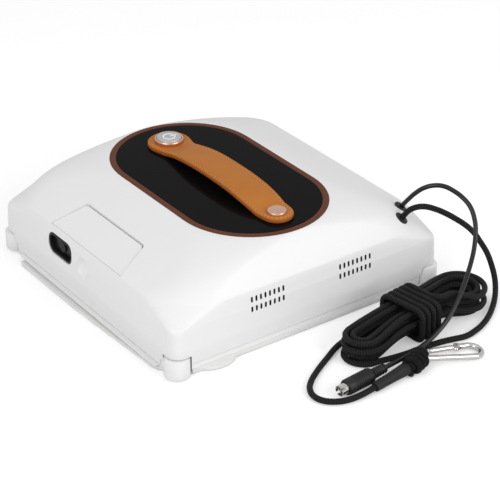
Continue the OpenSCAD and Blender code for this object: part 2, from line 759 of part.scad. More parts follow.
// Suction fan on the middle axis
fan_case_t = 2;
fan_tip_gap = 1.5;
fan_z = tray_floor_z;
blade_z = fan_z + fan_case_t + fan_tip_gap;
disc_z = blade_z + blade_h;
disc_t = 1.5;
fan_roof_z = disc_z + disc_t + fan_tip_gap;
fan_case_r = impeller_r + 2 * fan_tip_gap + fan_case_t;
fan_shaft_r = 1.5;
fan_hub_r = 5;
blade_in_share = 0.34;
blade_centre_shares = [0.5, -0.44];
outlet_w = 24;
grille_seat = 2;
grille_bar = 1.6;
grille_rings = 3;
grille_spokes = 6;

// Battery of four round cells
cell_r = 9.2;
cell_l = 65;
cell_gap = 0.2;
battery_in = 44.9;
battery_x = lip_half - battery_in;

// Plug, sleeve and knot
plug_r = plug_d / 2;
plug_back = last(cable_route);
plug_axis = [-42.5, -4.4, 0];
relief_l = 13;
relief_r = 3;
relief_ribs = 5;
relief_rib_t = 1.3;
relief_rib_h = 0.8;
plug_round = 1.2;
plug_ribs = 9;
plug_rib_w = 0.9;
plug_rib_d = 0.4;
shell_r = 4;
shell_wall = 0.7;
shell_l = 6;
shell_slot = 1.6;
shell_slot_l = 3;
contact_r = 0.5;
contact_place = 1.7;
sleeve_start = last(tail_route);
sleeve_end = cord_corner + [-100.8, -84.3, 5.4];
sleeve_r0 = 3.6;
sleeve_r1 = 4.8;
knot_centre = cord_corner + [-93.8, -84.9, 7.6];
knot_axis = [7, 2.6, 0];
knot_turns = 3;
knot_rings = 16;
knot_coil_r = 5.2;
knot_pitch = 4.7;
knot_core_r = 3.4;
knot_points = [
    for (i = [0:knot_turns * knot_rings])
        let (a = 360 * i / knot_rings)
            [knot_coil_r * cos(a), knot_coil_r * sin(a), knot_pitch * (i / knot_rings - knot_turns / 2)]];

// Snap hook: a pear of wire, in its own plane, with the small end in the knot
wire_r = hook_wire_d / 2;
small_r = 4.2;
big_r = 7.5;
hook_eye = cord_corner + [-80.8, -80.6, 6.6];
hook_turn = -17;
hook_reach = hook_l - small_r - big_r - hook_wire_d;
hook_pitch = asin((hook_eye[2] - wire_r - seat_gap) / (hook_reach + big_r));
flank = asin((big_r - small_r) / hook_reach);
flank_l = hook_reach * cos(flank);
nose_l = 5.5;
hinge_back = 7.5;
gate_r = 1.8;
tongue_t = 1.3;
gate_pin_r = 0.7;
barrel_r = 2.6;
barrel_h = 3.4;
gate_start = barrel_r + free_gap;
hook_arc_n = 10;
hook_bow_n = 16;
// The wire's line, from the nose round the small end and the big end to the gate's hinge
function on_circle(x, r, a) = [x + r * cos(a), r * sin(a), 0];
along_flank = [cos(flank), sin(flank), 0];
hook_points = concat(
    [on_circle(0, small_r, 90 + flank) + nose_l * along_flank],
    [for (i = [0:hook_arc_n]) on_circle(0, small_r, lerp(90 + flank, 270 - flank, i / hook_arc_n))],
    [for (i = [0:hook_bow_n]) on_circle(hook_reach, big_r, lerp(-90 - flank, 90 + flank, i / hook_bow_n))],
    [on_circle(hook_reach, big_r, 90 + flank) - hinge_back * along_flank]);
module hook_frame() {
    translate(hook_eye) rotate([0, hook_pitch, hook_turn]) children();
}
// Frame whose +X runs from the gate's hinge to the nose, and whose origin is the hinge
module gate_frame() {
    translate([hook_reach, 0, 0]) rotate(90 + flank) translate([big_r, 0, 0])
        rotate(90) translate([hinge_back, 0, 0]) children();
}

module top_cover() {
    color(white) difference() {
        loft(outer_rings());
        difference() {
            loft(inner_rings());
            cover_inside();
        }
        cover_cuts();
    }
}
module screw_places() {
    for (a = [0:90:270], s = [-1, 1])
        rotate(a) translate([screw_place, s * screw_along, 0]) children();
}
module post_places() {
    for (sx = [-1, 1], y = [board_y0 + 2 * post_r, board_y1 - 8 * post_r])
        translate([sx * post_x, y, 0]) children();
}
// What the mould leaves standing inside the shell
module cover_inside() {
    at_corners(roller_place) rod(notch_r + wall_t, foot_z - 2 * cut, notch_top_z + roof_t);
    at_corners(roller_place) rod(boss_r, notch_top_z, notch_top_z + pin_grip + roof_t);
    screw_places() rod(screw_boss_r, foot_z, deck_z);
    post_places() rod(post_r, board_z + board_t, deck_z);
    for (s = [-1, 1])
        translate([hinge_x - ear_w / 2, s * (hinge_span - ear_l / 2) - ear_l / 2, hinge_z - 2 * hinge_pin_d])
            cube([ear_w, ear_l, 3 * hinge_pin_d]);
    intersection() {
        slab(waist_z, deck_z) lid_plan(lid_gap + ledge_t, lid_back_gap + ledge_t);
        along_y(cover_w) polygon(slope_band(lid_front_x - ledge_w, lid_back_x + ledge_w, 0, ledge_drop + ledge_t));
    }
    translate([scoop_x, scoop_y, scoop_z]) sphere(scoop_r + wall_t);
}
module cover_cuts() {
    slab(deck_floor_z, deck_z + cut) stadium(trim_w + 2 * seat_gap, trim_l + 2 * seat_gap);
    translate([0, button_y, 0]) rod(sleeve_r + seat_gap, inner_top_z - cut, deck_z);
    translate([0, rivet_y, 0]) rod(rivet_shank_r + seat_gap, inner_top_z - cut, deck_z);
    at_corners(roller_place) rod(notch_r, foot_z - cut, notch_top_z);
    at_corners(roller_place) rod(pin_r, notch_top_z - cut, notch_top_z + pin_grip);
    screw_places() rod(screw_r, foot_z - cut, foot_z + screw_grip);
    intersection() {
        slab(waist_z, deck_z + cut) lid_plan(lid_gap, lid_back_gap);
        along_y(cover_w) polygon(slope_band(lid_front_x - ledge_w, lid_back_x + ledge_w, -crest_d, ledge_drop));
    }
    slab(crest_z - 2 * ledge_drop, deck_z + cut) {
        lid_plan(-ledge_w, lid_back_gap);
        intersection() {
            lid_plan(lid_gap, lid_back_gap);
            translate([hinge_x - ear_w / 2, -cover_w / 2]) square(cover_w);
        }
    }
    along_hinge() cylinder(d = hinge_pin_d, h = 2 * hinge_span, center = true);
    vent_cuts();
    through_front(-waist_half - cut, window_back_x) window_plan(seat_gap);
    translate([scoop_x, scoop_y, scoop_z]) sphere(scoop_r);
    for (route = [cable_route, rope_route])
        at_route(route) {
            rod(grommet_r, 0, 2 * grommet_seat);
            rod(grommet_flange_r + seat_gap, grommet_seat - seat_gap, 2 * grommet_seat);
            rod(grommet_flange_r + seat_gap, -grommet_seat, 2 * grommet_inner_z + seat_gap);
        }
}
module along_hinge() {
    translate([hinge_x, 0, hinge_z]) rotate([90, 0, 0]) children();
}
module tank_lid() {
    knuckle_l = lid_inner_l - 2 * ledge_w - 2 * free_gap;
    color(white) difference() {
        union() {
            intersection() {
                slab(waist_z, deck_z) lid_plan(0, 0);
                along_y(cover_w) difference() {
                    polygon(slope_band(lid_front_x - cut, lid_back_x + cut, lid_sink, lid_sink + lid_t));
                    translate([lid_back_x - lid_round, slope_z(lid_back_x) - lid_sink - lid_round]) difference() {
                        square(lid_round + 2 * cut);
                        circle(lid_round);
                    }
                }
            }
            along_hinge() cylinder(r = knuckle_r, h = knuckle_l, center = true);
        }
        along_hinge() cylinder(r = hinge_pin_d / 2 + run_gap, h = cover_w, center = true);
    }
}
module lid_hinge_pin() {
    color(steel) along_hinge() cylinder(d = hinge_pin_d, h = 2 * hinge_span, center = true);
}
module trim_ring() {
    color(copper) slab(deck_floor_z, strap_z) difference() {
        stadium(trim_w, trim_l);
        stadium(trim_w - 2 * trim_band, trim_l - 2 * trim_band);
    }
}
module top_panel() {
    color(black) difference() {
        slab(deck_floor_z, strap_z)
            stadium(trim_w - 2 * trim_band - 2 * seat_gap, trim_l - 2 * trim_band - 2 * seat_gap);
        translate([0, button_y, 0]) rod(sleeve_r + seat_gap, deck_floor_z - cut, strap_z + cut);
        translate([0, rivet_y, 0]) rod(rivet_shank_r + seat_gap, deck_floor_z - cut, strap_z + cut);
    }
}
module handle_strap() {
    color(tan) difference() {
        loft([for (s = strap_stations) strap_ring(s)]);
        translate([0, button_y, 0]) rod(sleeve_r + seat_gap, strap_z - cut, strap_top_z + cut);
        translate([0, rivet_y, 0]) rod(rivet_shank_r + seat_gap, strap_z - cut, strap_top_z + cut);
    }
}
module button_bezel() {
    top = strap_top_z + bezel_h;
    inner = button_r + seat_gap;
    bore = sleeve_r - sleeve_wall;
    color(rose) translate([0, button_y, 0]) rotate_extrude()
        polygon([[bore, inner_top_z - nut_t], [sleeve_r, inner_top_z - nut_t], [sleeve_r, strap_top_z],
                 [bezel_r, strap_top_z], [bezel_r, top - bezel_round], [bezel_r - bezel_round, top],
                 [inner, top], [inner, bezel_floor_z], [bore, bezel_floor_z]]);
}
module power_button() {
    top = button_z + button_t;
    skirt = sleeve_r - sleeve_wall - seat_gap;
    color(steel) translate([0, button_y, 0]) rotate_extrude()
        polygon([[0, switch_top_z + button_travel + free_gap], [stem_r, switch_top_z + button_travel + free_gap],
                 [stem_r, strap_z], [skirt, strap_z], [skirt, button_z], [button_r, button_z],
                 [button_r, top - button_round], [button_r - button_round, top], [0, top]]);
}
module button_symbol() {
    bar_l = symbol_r + symbol_line;
    color(white) translate([0, button_y, 0]) rotate(-90) slab(button_z + button_t, button_z + button_t + symbol_t) {
        difference() {
            circle(symbol_r + symbol_line / 2);
            circle(symbol_r - symbol_line / 2);
            translate([0, symbol_r]) square([3 * symbol_line, 2 * symbol_r], center = true);
        }
        translate([0, symbol_r - symbol_line / 2]) square([symbol_line, bar_l], center = true);
    }
}
module deck_nuts() {
    color(steel) {
        translate([0, button_y, 0]) slab(inner_top_z - nut_t, inner_top_z) difference() {
            circle(sleeve_r + nut_over, $fn = 6);
            circle(sleeve_r);
        }
        translate([0, rivet_y, 0]) slab(inner_top_z - nut_t, inner_top_z) difference() {
            circle(rivet_shank_r + nut_over, $fn = 6);
            circle(rivet_shank_r);
        }
    }
}
module handle_rivet() {
    top = strap_top_z + rivet_h;
    color(rose) translate([0, rivet_y, 0]) rotate_extrude()
        polygon([[0, inner_top_z - nut_t], [rivet_shank_r, inner_top_z - nut_t], [rivet_shank_r, strap_top_z],
                 [rivet_r, strap_top_z], [rivet_r, top - rivet_round], [rivet_r - rivet_round, top], [0, top]]);
}
module water_tank() {
    color([0.85, 0.9, 0.92, 0.6]) difference() {
        union() {
            translate([tank_x0 + tank_w / 2, tank_y0 + tank_l / 2, 0])
                slab(tray_floor_z, tank_top_z) rounded_square(tank_w, tank_l, tank_r);
            at_neck() rod(neck_r, tank_top_z - cut, tank_top_z + neck_h);
        }
        translate([tank_x0 + tank_w / 2, tank_y0 + tank_l / 2, 0])
            slab(tray_floor_z + tank_wall, tank_top_z - tank_wall)
                rounded_square(tank_w - 2 * tank_wall, tank_l - 2 * tank_wall, tank_r - tank_wall);
        at_neck() rod(neck_r - tank_wall, tank_top_z - 2 * tank_wall, tank_top_z + neck_h + cut);
    }
}
module at_neck() {
    translate([tank_x0 + tank_w / 2, neck_y_shift, 0]) children();
}
module tank_plug() {
    z = tank_top_z + neck_h;
    color(soft_black) at_neck() {
        rod(neck_r - tank_wall - seat_gap, z - neck_h / 2, z + plug_flange_t / 2);
        rod(neck_r + seat_gap, z, z + plug_flange_t);
    }
}
module spray_pump() {
    color(black) {
        translate([pump_x, window_y, 0]) rod(pump_r, tray_floor_z, tray_floor_z + pump_h);
        translate([pump_x, window_y, 0]) rod(pump_head_r, tray_floor_z + pump_h, tray_floor_z + pump_h + pump_head_h);
        front_rod(spigot_r, pump_x - pump_head_r - spigot_l, pump_x, window_y, window_z);
    }
}
module spray_nozzle() {
    color(steel) difference() {
        union() {
            front_rod(nozzle_r, nozzle_front_x, window_back_x + cut, window_y, window_z);
            front_rod(spigot_r, nozzle_front_x, window_back_x + cut + spigot_l, window_y, window_z);
        }
        front_rod(nozzle_tip_r, nozzle_front_x - cut, nozzle_front_x + window_depth, window_y, window_z);
    }
}
module spray_tube() {
    color([0.8, 0.85, 0.88]) difference() {
        front_rod(spigot_r + tube_t, window_back_x + cut, pump_x - pump_head_r - seat_gap, window_y, window_z);
        front_rod(spigot_r + run_gap, window_back_x, pump_x, window_y, window_z);
    }
}
module nozzle_bezel() {
    color(black) difference() {
        union() {
            through_front(window_face_x, window_back_x) window_plan(0);
            through_front(window_flange_x, window_back_x) window_plan(window_flange);
        }
        through_front(window_face_x - cut, window_face_x + window_depth) window_plan(-window_frame);
        front_rod(nozzle_r + run_gap, window_face_x, window_back_x + cut, window_y, window_z);
    }
}
module grommet(cord_r) {
    bore = cord_r + seat_gap + run_gap;
    neck = grommet_r - run_gap;
    rotate_extrude() polygon([[bore, 0], [neck, 0], [grommet_flange_r, grommet_inner_z],
                              [grommet_flange_r, 2 * grommet_inner_z], [neck, 2 * grommet_inner_z],
                              [neck, grommet_seat], [grommet_flange_r, grommet_seat],
                              [grommet_flange_r, grommet_seat + grommet_flange_t / 2],
                              [neck, grommet_seat + grommet_flange_t], [bore, grommet_seat + grommet_flange_t]]);
}
module cable_grommet() { color(soft_black) at_route(cable_route) grommet(cable_r); }
module rope_grommet() { color(soft_black) at_route(rope_route) grommet(rope_r); }

module base_tray() {
    window_half_l = track_l / 2 + belt_r + 2 * free_gap;
    color(white) difference() {
        union() {
            slab(tray_z, tray_floor_z) rounded_square(2 * tray_half, 2 * tray_half, corner_r);
            slab(tray_z, tray_top_z) difference() {
                rounded_square(2 * tray_half, 2 * tray_half, corner_r);
                square(2 * (tray_half - tray_rim), center = true);
            }
            screw_places() rod(screw_boss_r, tray_z, tray_top_z);
            slab(tray_z, tray_top_z + tray_lip_h) difference() {
                rounded_square(2 * lip_half, 2 * lip_half, corner_r);
                square(2 * (lip_half - lip_t), center = true);
            }
        }
        at_corners(roller_place) rod(notch_r, 0, foot_z);
        at_corners(roller_place) rod(notch_r + wall_t + free_gap, tray_top_z, 2 * waist_z);
        screw_places() rod(screw_boss_r + free_gap, tray_top_z, 2 * waist_z);
        screw_places() rod(screw_r + seat_gap, 0, foot_z);
        screw_places() rod(screw_head_r + seat_gap, 0, screw_head_z + screw_head_h);
        for (s = [-1, 1])
            translate([0, s * track_y, 0]) slab(0, foot_z)
                square([2 * window_half_l, 2 * plate_in - 2 * free_gap], center = true);
        rod(inlet_r + grille_seat, 0, foot_z);
        at_corners(sensor_place) slab(0, foot_z) square([sensor_w, sensor_l], center = true);
    }
}
module base_screws() {
    color(steel) screw_places() {
        rod(screw_head_r, screw_head_z, screw_head_z + screw_head_h);
        rod(screw_r, screw_head_z, foot_z + screw_grip);
    }
}
module edge_sensor_windows() {
    color([0.2, 0.1, 0.12, 0.8]) at_corners(sensor_place)
        slab(tray_z, tray_floor_z) square([sensor_w - 2 * seat_gap, sensor_l - 2 * seat_gap], center = true);
}
module hook_strips() {
    color([0.85, 0.85, 0.85]) for (a = [0:90:270])
        rotate(a) translate([cloth_half - cloth_band / 2, 0, 0])
            slab(cloth_t, tray_z) rounded_square(strip_w, strip_l, tube_t);
}
module cleaning_cloth() {
    color([0.9, 0.9, 0.88]) slab(0, cloth_t) difference() {
        union() {
            rounded_square(2 * cloth_half, 2 * cloth_half, corner_r);
            intersection() {
                translate([flap_x, -cloth_half - flap_out + flap_r]) circle(flap_r);
                translate([flap_x - flap_l / 2, -2 * cloth_half]) square([flap_l, cloth_half + corner_r]);
            }
        }
        rounded_square(2 * (cloth_half - cloth_band), 2 * (cloth_half - cloth_band), cloth_inner_r);
        for (sx = [-1, 1], sy = [-1, 1])
            translate([sx * roller_place, sy * roller_place]) circle(notch_r + free_gap);
    }
}
module corner_roller(i) {
    r = roller_r;
    c = roller_chamfer;
    z1 = roller_lift + roller_h;
    place = roller_place;
    color(white) translate([i < 2 ? -place : place, i % 2 == 0 ? -place : place, 0]) rotate_extrude()
        polygon([[roller_sink_r, roller_lift], [r - c, roller_lift], [r, roller_lift + c], [r, z1 - c], [r - c, z1],
                 [pin_r + run_gap, z1], [pin_r + run_gap, roller_seat_z], [roller_sink_r, roller_seat_z]]);
}
module roller_screws() {
    color(steel) at_corners(roller_place) {
        rod(pin_head_r, pin_head_z, pin_head_z + pin_head_h);
        rod(pin_r, pin_head_z, notch_top_z + pin_grip);
    }
}

// A track's pieces lie round its own line, at y = 0 here
module at_track(side) {
    mirror([0, side == 0 ? 1 : 0, 0]) translate([0, track_y, belt_r]) children();
}
module along_axle(r, y0, y1) {
    translate([0, y1, 0]) rotate([90, 0, 0]) cylinder(r = r, h = y1 - y0);
}
module belt_loop(r) {
    square([track_l, 2 * r], center = true);
    for (s = [-1, 1])
        translate([s * track_l / 2, 0]) circle(r);
}
module track_belt(side) {
    pitch = track_l / belt_grooves;
    color(soft_black) at_track(side) along_y(belt_w) difference() {
        belt_loop(belt_r);
        belt_loop(belt_inner_r);
        for (s = [-1, 1], i = [0:belt_grooves - 1])
            translate([(i + 0.5) * pitch - track_l / 2, s * belt_r])
                square([groove_w, 2 * groove_d], center = true);
        for (s = [-1, 1], i = [0:end_grooves - 1])
            translate([s * track_l / 2, 0]) rotate(s * (180 * (i + 0.5) / end_grooves - 90))
                translate([s * belt_r, 0]) square([2 * groove_d, groove_w], center = true);
    }
}
module pulley(bore) {
    rotate([90, 0, 0]) difference() {
        rotate_extrude() polygon(concat(
            [[bore, -pulley_half], [hub_r, -pulley_half], [hub_r, -pulley_half + web_in], [web_r, -pulley_half + web_in],
             [web_r, -pulley_half], [flange_r, -pulley_half], [flange_r, flange_t - pulley_half],
             [rim_r, flange_t - pulley_half], [rim_r, pulley_half - flange_t], [flange_r, pulley_half - flange_t],
             [flange_r, pulley_half], [web_r, pulley_half], [web_r, pulley_half - web_in],
             [hub_r, pulley_half - web_in], [hub_r, pulley_half], [bore, pulley_half]]));
        for (i = [0:web_holes - 1])
            rotate(360 * i / web_holes) translate([(hub_r + web_r) / 2, 0, 0])
                cylinder(r = web_hole_r, h = 2 * pulley_half, center = true);
    }
}
module drive_pulley(side) {
    color([0.3, 0.3, 0.32]) at_track(side) translate([track_l / 2, 0, 0]) pulley(axle_r);
}
module idler_pulley(side) {
    color([0.3, 0.3, 0.32]) at_track(side) translate([-track_l / 2, 0, 0]) pulley(axle_r + run_gap);
}
module drive_shaft(side) {
    color(steel) at_track(side) translate([track_l / 2, 0, 0])
        along_axle(axle_r, -plate_out - gearbox_l + plate_t, plate_out);
}
module idler_axles() {
    color(steel) for (side = [0, 1])
        at_track(side) translate([-track_l / 2, 0, 0]) {
            along_axle(axle_r, -plate_out - axle_head_t, plate_out + axle_head_t);
            along_axle(axle_head_r, -plate_out - axle_head_t, -plate_out);
            along_axle(axle_head_r, plate_out, plate_out + axle_head_t);
        }
}
module track_frame(side) {
    floor_drop = tray_floor_z - belt_r;
    color([0.35, 0.36, 0.38]) at_track(side) difference() {
        union() {
            for (s = [-1, 1])
                translate([0, s * (plate_in + plate_t / 2), 0]) along_y(plate_t) difference() {
                    intersection() {
                        belt_loop(plate_half_h);
                        translate([-track_l, floor_drop]) square([2 * track_l, 2 * plate_half_h]);
                    }
                    for (h = [-1, 1])
                        translate([h * plate_hole_x, 0]) circle(plate_hole_r);
                }
            along_axle(tie_r, -plate_out, plate_out);
        }
        for (s = [-1, 1])
            translate([s * track_l / 2, 0, 0]) along_axle(axle_r + run_gap, -plate_out - cut, plate_out + cut);
    }
}
module gearmotor(side) {
    y1 = -plate_out;
    y0 = y1 - gearbox_l;
    color([0.55, 0.56, 0.58]) at_track(side) translate([track_l / 2, 0, 0]) difference() {
        union() {
            translate([-gearbox_w / 2, y0, tray_floor_z - belt_r])
                cube([gearbox_w, gearbox_l, gearbox_top_z - tray_floor_z]);
            translate([0, 0, motor_z - belt_r]) along_axle(motor_r, y0 - motor_l, y0 + cut);
            translate([0, 0, motor_z - belt_r]) along_axle(motor_cap_r, y0 - motor_l - motor_cap_l, y0);
        }
        along_axle(axle_r + run_gap, y0 + plate_t - seat_gap, y1 + cut);
    }
}
module inlet_grille() {
    outer = inlet_r + grille_seat - seat_gap;
    color(black) slab(tray_z, tray_floor_z) {
        for (i = [0:grille_rings])
            difference() {
                circle(i == 0 ? outer : outer * (1 - i / (grille_rings + 1)));
                circle((i == 0 ? outer - grille_seat : outer * (1 - i / (grille_rings + 1)) - grille_bar));
            }
        for (i = [0:grille_spokes - 1])
            rotate(360 * i / grille_spokes) translate([0, -grille_bar / 2])
                square([outer - grille_seat / 2, grille_bar]);
    }
}
module fan_housing() {
    color([0.25, 0.26, 0.28]) difference() {
        rod(fan_case_r, fan_z, fan_roof_z + fan_case_t);
        rod(fan_case_r - fan_case_t, fan_z + fan_case_t, fan_roof_z);
        rod(inlet_r, fan_z - cut, fan_z + 2 * fan_case_t);
        rod(fan_hub_r, fan_roof_z - cut, fan_roof_z + 2 * fan_case_t);
        translate([-outlet_w / 2, -2 * fan_case_r, fan_z + fan_case_t])
            cube([outlet_w, 2 * fan_case_r, fan_roof_z - fan_z - fan_case_t]);
    }
}
module blade() {
    c = blade_centre_shares * impeller_r;
    r0 = blade_in_share * impeller_r;
    arc_r = norm([r0, 0] - c);
    intersection() {
        difference() {
            circle(impeller_r - seat_gap);
            circle(r0);
        }
        translate(c) difference() {
            circle(arc_r);
            circle(arc_r - blade_t);
        }
        translate([r0 - blade_t, c[1]]) square(impeller_r);
    }
}
module fan_impeller() {
    color([0.2, 0.2, 0.22]) difference() {
        union() {
            rod(impeller_r, disc_z, disc_z + disc_t);
            rod(fan_hub_r, blade_z, disc_z + disc_t);
            slab(blade_z, disc_z) for (i = [0:blade_n - 1])
                rotate(360 * i / blade_n) blade();
        }
        rod(fan_shaft_r, blade_z - cut, disc_z + 2 * disc_t);
    }
}
module fan_shaft() {
    color(steel) rod(fan_shaft_r, blade_z, fan_roof_z + fan_case_t + fan_motor_h);
}
module fan_motor() {
    z = fan_roof_z + fan_case_t;
    color([0.6, 0.6, 0.62]) difference() {
        union() {
            rod(fan_motor_r, z, z + fan_motor_h);
            rod(fan_hub_r, z - fan_case_t + seat_gap, z + fan_motor_h + cut);
        }
        rod(fan_shaft_r + run_gap, fan_roof_z - cut, z + fan_motor_h + 2 * cut);
    }
}
module battery_pack() {
    step = 2 * cell_r + cell_gap;
    color([0.15, 0.3, 0.55]) translate([battery_x + cell_r, 0, tray_floor_z + cell_r]) {
        for (i = [0, 1], k = [0, 1])
            translate([i * step, 0, k * step]) along_axle(cell_r, -cell_l / 2, cell_l / 2);
        translate([0, -cell_l / 2 + cut, 0]) cube([step, cell_l - 2 * cut, step]);
    }
}
module control_board() {
    color([0.1, 0.35, 0.2]) {
        translate([-board_w / 2, board_y0, board_z]) cube([board_w, board_y1 - board_y0, board_t]);
        translate([-switch_w / 2, button_y - switch_w / 2, board_z]) cube([switch_w, switch_w, switch_top_z - board_z]);
        for (i = [-1, 1])
            translate([i * 2 * chip_w - chip_w / 2, -chip_w / 2, board_z]) cube([chip_w, chip_w, board_t + chip_t]);
        translate([socket_w / 2, board_y0, board_z]) cube([socket_w, socket_l, socket_h]);
    }
}

module dc_plug() {
    color(soft_black) translate(plug_back) pointing(plug_axis) difference() {
        union() {
            cylinder(r = relief_r, h = relief_l + plug_round);
            for (i = [0:relief_ribs - 1])
                translate([0, 0, (i + 0.5) * relief_l / relief_ribs])
                    cylinder(r1 = relief_r + relief_rib_h / 2, r2 = relief_r + relief_rib_h, h = relief_rib_t);
            translate([0, 0, relief_l]) rotate_extrude()
                polygon([[0, 0], [plug_r - 2 * plug_round, 0], [plug_r - seat_gap, 2 * plug_round],
                         [plug_r - seat_gap, plug_l - plug_rib_d], [plug_r - seat_gap - plug_rib_d, plug_l], [0, plug_l]]);
        }
        for (i = [0:plug_ribs - 1])
            translate([0, 0, relief_l + 3 * plug_round + 2 * i * plug_rib_w]) difference() {
                cylinder(r = plug_r + cut, h = plug_rib_w);
                translate([0, 0, -cut]) cylinder(r = plug_r - plug_rib_d, h = plug_rib_w + 2 * cut);
            }
    }
}
module plug_shell() {
    color(steel) translate(plug_back) pointing(plug_axis) translate([0, 0, relief_l + plug_l]) {
        difference() {
            cylinder(r = shell_r, h = shell_l);
            translate([0, 0, shell_wall]) cylinder(r = shell_r - shell_wall, h = shell_l);
            for (a = [45, 135])
                rotate(a) translate([-shell_slot / 2, -2 * shell_r, shell_l - shell_slot_l])
                    cube([shell_slot, 4 * shell_r, shell_l]);
        }
        for (a = [0:90:270])
            rotate(a) translate([contact_place, 0, 0]) cylinder(r = contact_r, h = shell_l - cut, $fn = cap_fn);
    }
}
module power_cable() { color(soft_black) tube(cable_route, cable_r, 8); }
module safety_rope() { color(soft_black) tube(rope_route, rope_r, 8); }
module rope_hank() { color(soft_black) tube(hank_path, rope_r, 6); }
module rope_tail() { color(soft_black) tube(tail_route, rope_r, 8); }
module rope_sleeve() {
    color(black) translate(sleeve_start) pointing(sleeve_end - sleeve_start)
        cylinder(r1 = sleeve_r0, r2 = sleeve_r1, h = norm(sleeve_end - sleeve_start));
}
module rope_knot() {
    color(soft_black) {
        difference() {
            union() {
                translate(knot_centre) pointing(knot_axis) tube(knot_points, rope_r, 8);
                translate(knot_centre) pointing(knot_axis)
                    cylinder(r = knot_core_r, h = knot_turns * knot_pitch, center = true);
            }
            translate(sleeve_start) pointing(sleeve_end - sleeve_start)
                cylinder(r = sleeve_r1 + seat_gap, h = norm(sleeve_end - sleeve_start) + seat_gap);
            hook_frame() tube(hook_points, wire_r + seat_gap, 12);
        }
        hook_frame() translate([-small_r, 0, 0]) rotate([90, 0, 0])
            rotate_extrude() translate([wire_r + rope_r + seat_gap, 0]) circle(rope_r, $fn = cap_fn);
    }
}
module snap_hook() {
    color(steel) hook_frame() difference() {
        union() {
            tube(hook_points, wire_r, 12);
            gate_frame() cylinder(r = barrel_r, h = barrel_h, center = true);
        }
        gate_frame() translate([-gate_start, -2 * wire_r, -tongue_t / 2 - run_gap])
            cube([3 * gate_start, 4 * wire_r, tongue_t + 2 * run_gap]);
        gate_frame() cylinder(r = gate_pin_r, h = 2 * hook_wire_d, center = true);
    }
}
module snap_gate() {
    gate_l = flank_l - hinge_back - nose_l - free_gap;
    color(steel) hook_frame() gate_frame() difference() {
        union() {
            translate([gate_start, 0, 0]) rotate([0, 90, 0]) cylinder(r = gate_r, h = gate_l - gate_start);
            translate([0, -gate_r, -tongue_t / 2]) cube([gate_start + cut, 2 * gate_r, tongue_t]);
            cylinder(r = gate_r, h = tongue_t, center = true);
        }
        cylinder(r = gate_pin_r + run_gap, h = hook_wire_d, center = true);
    }
}
module gate_pin() {
    color(steel) hook_frame() gate_frame() cylinder(r = gate_pin_r, h = barrel_h, center = true);
}

top_cover();
trim_ring();
top_panel();
handle_strap();
button_bezel();
power_button();
button_symbol();
deck_nuts();
handle_rivet();
tank_lid();
lid_hinge_pin();
water_tank();
tank_plug();
spray_pump();
spray_tube();
nozzle_bezel();
spray_nozzle();
cable_grommet();
rope_grommet();
base_tray();
base_screws();
edge_sensor_windows();
hook_strips();
cleaning_cloth();
for (i = [0:3])
    corner_roller(i);
roller_screws();
for (i = [0:1]) {
    track_belt(i);
    track_frame(i);
    drive_pulley(i);
    drive_shaft(i);
    idler_pulley(i);
    gearmotor(i);
}
idler_axles();
inlet_grille();
fan_housing();
fan_impeller();
fan_shaft();
fan_motor();
battery_pack();
control_board();
power_cable();
dc_plug();
plug_shell();
safety_rope();
rope_hank();
rope_tail();
rope_sleeve();
rope_knot();
snap_hook();
snap_gate();
gate_pin();
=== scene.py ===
# %% [markdown]
# # A window cleaning robot
# A square white robot that holds itself on a pane by suction: a moulded cover with a crowned top, a black
# glossy panel in a copper trim, a leather carrying strap over a power button and a rivet, and on its side a
# power cable and a braided safety rope, wound into a hank that ends in a snap hook. The solids of the robot
# come packed from its construction. This script dresses them: it makes smooth or soft pieces for what shows,
# paints every surface with procedural materials, and leaves the moving bodies as they are.

# %% Load the solids
import math
import bpy
import bmesh
from mathutils import Matrix, Vector


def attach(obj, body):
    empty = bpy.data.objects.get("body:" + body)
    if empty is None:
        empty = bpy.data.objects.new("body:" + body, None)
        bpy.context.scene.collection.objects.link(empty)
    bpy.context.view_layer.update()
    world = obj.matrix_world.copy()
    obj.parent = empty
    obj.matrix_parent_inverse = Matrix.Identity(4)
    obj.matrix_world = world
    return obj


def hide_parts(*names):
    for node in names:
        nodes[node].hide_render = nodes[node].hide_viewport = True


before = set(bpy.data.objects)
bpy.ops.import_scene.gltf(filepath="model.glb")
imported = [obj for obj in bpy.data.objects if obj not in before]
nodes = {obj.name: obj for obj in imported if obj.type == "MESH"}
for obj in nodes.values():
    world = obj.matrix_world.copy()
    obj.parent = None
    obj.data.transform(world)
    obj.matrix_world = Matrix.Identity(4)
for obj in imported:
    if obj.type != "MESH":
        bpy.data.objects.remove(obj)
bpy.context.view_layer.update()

MM = 0.001

# %% [markdown]
# ## The camera
# The photograph was taken with a long lens from the front left, about 30 degrees above the glass. The camera's
# place came from matching corners whose places on the robot are known, so the render and the photograph lie
# on each other.

# %% Camera
def in_scene(name, data):
    thing = bpy.data.objects.new(name, data)
    bpy.context.scene.collection.objects.link(thing)
    return thing


AZIMUTH, ELEVATION = math.radians(-35.61), math.radians(29.75)
CAMERA_DISTANCE, FOCAL_PX, PHOTO_PX, SENSOR = 1405.17, 1827.92, 500, 36
AIM_RIGHT, AIM_UP, AIM_Z = 24.65, 9.06, 1
back = Vector((math.sin(AZIMUTH) * math.cos(ELEVATION), -math.cos(AZIMUTH) * math.cos(ELEVATION),
               math.sin(ELEVATION)))
right = Vector((math.cos(AZIMUTH), math.sin(AZIMUTH), 0))
up = back.cross(right)
aim = right * AIM_RIGHT + up * AIM_UP + Vector((0, 0, AIM_Z))
camera = in_scene("camera", bpy.data.cameras.new("camera"))
camera.data.lens = FOCAL_PX / PHOTO_PX * SENSOR
camera.data.clip_end = 20
place = (aim + back * CAMERA_DISTANCE) * MM
camera.matrix_world = Matrix.Translation(place) @ Matrix((right, up, back)).transposed().to_4x4()
bpy.context.scene.camera = camera
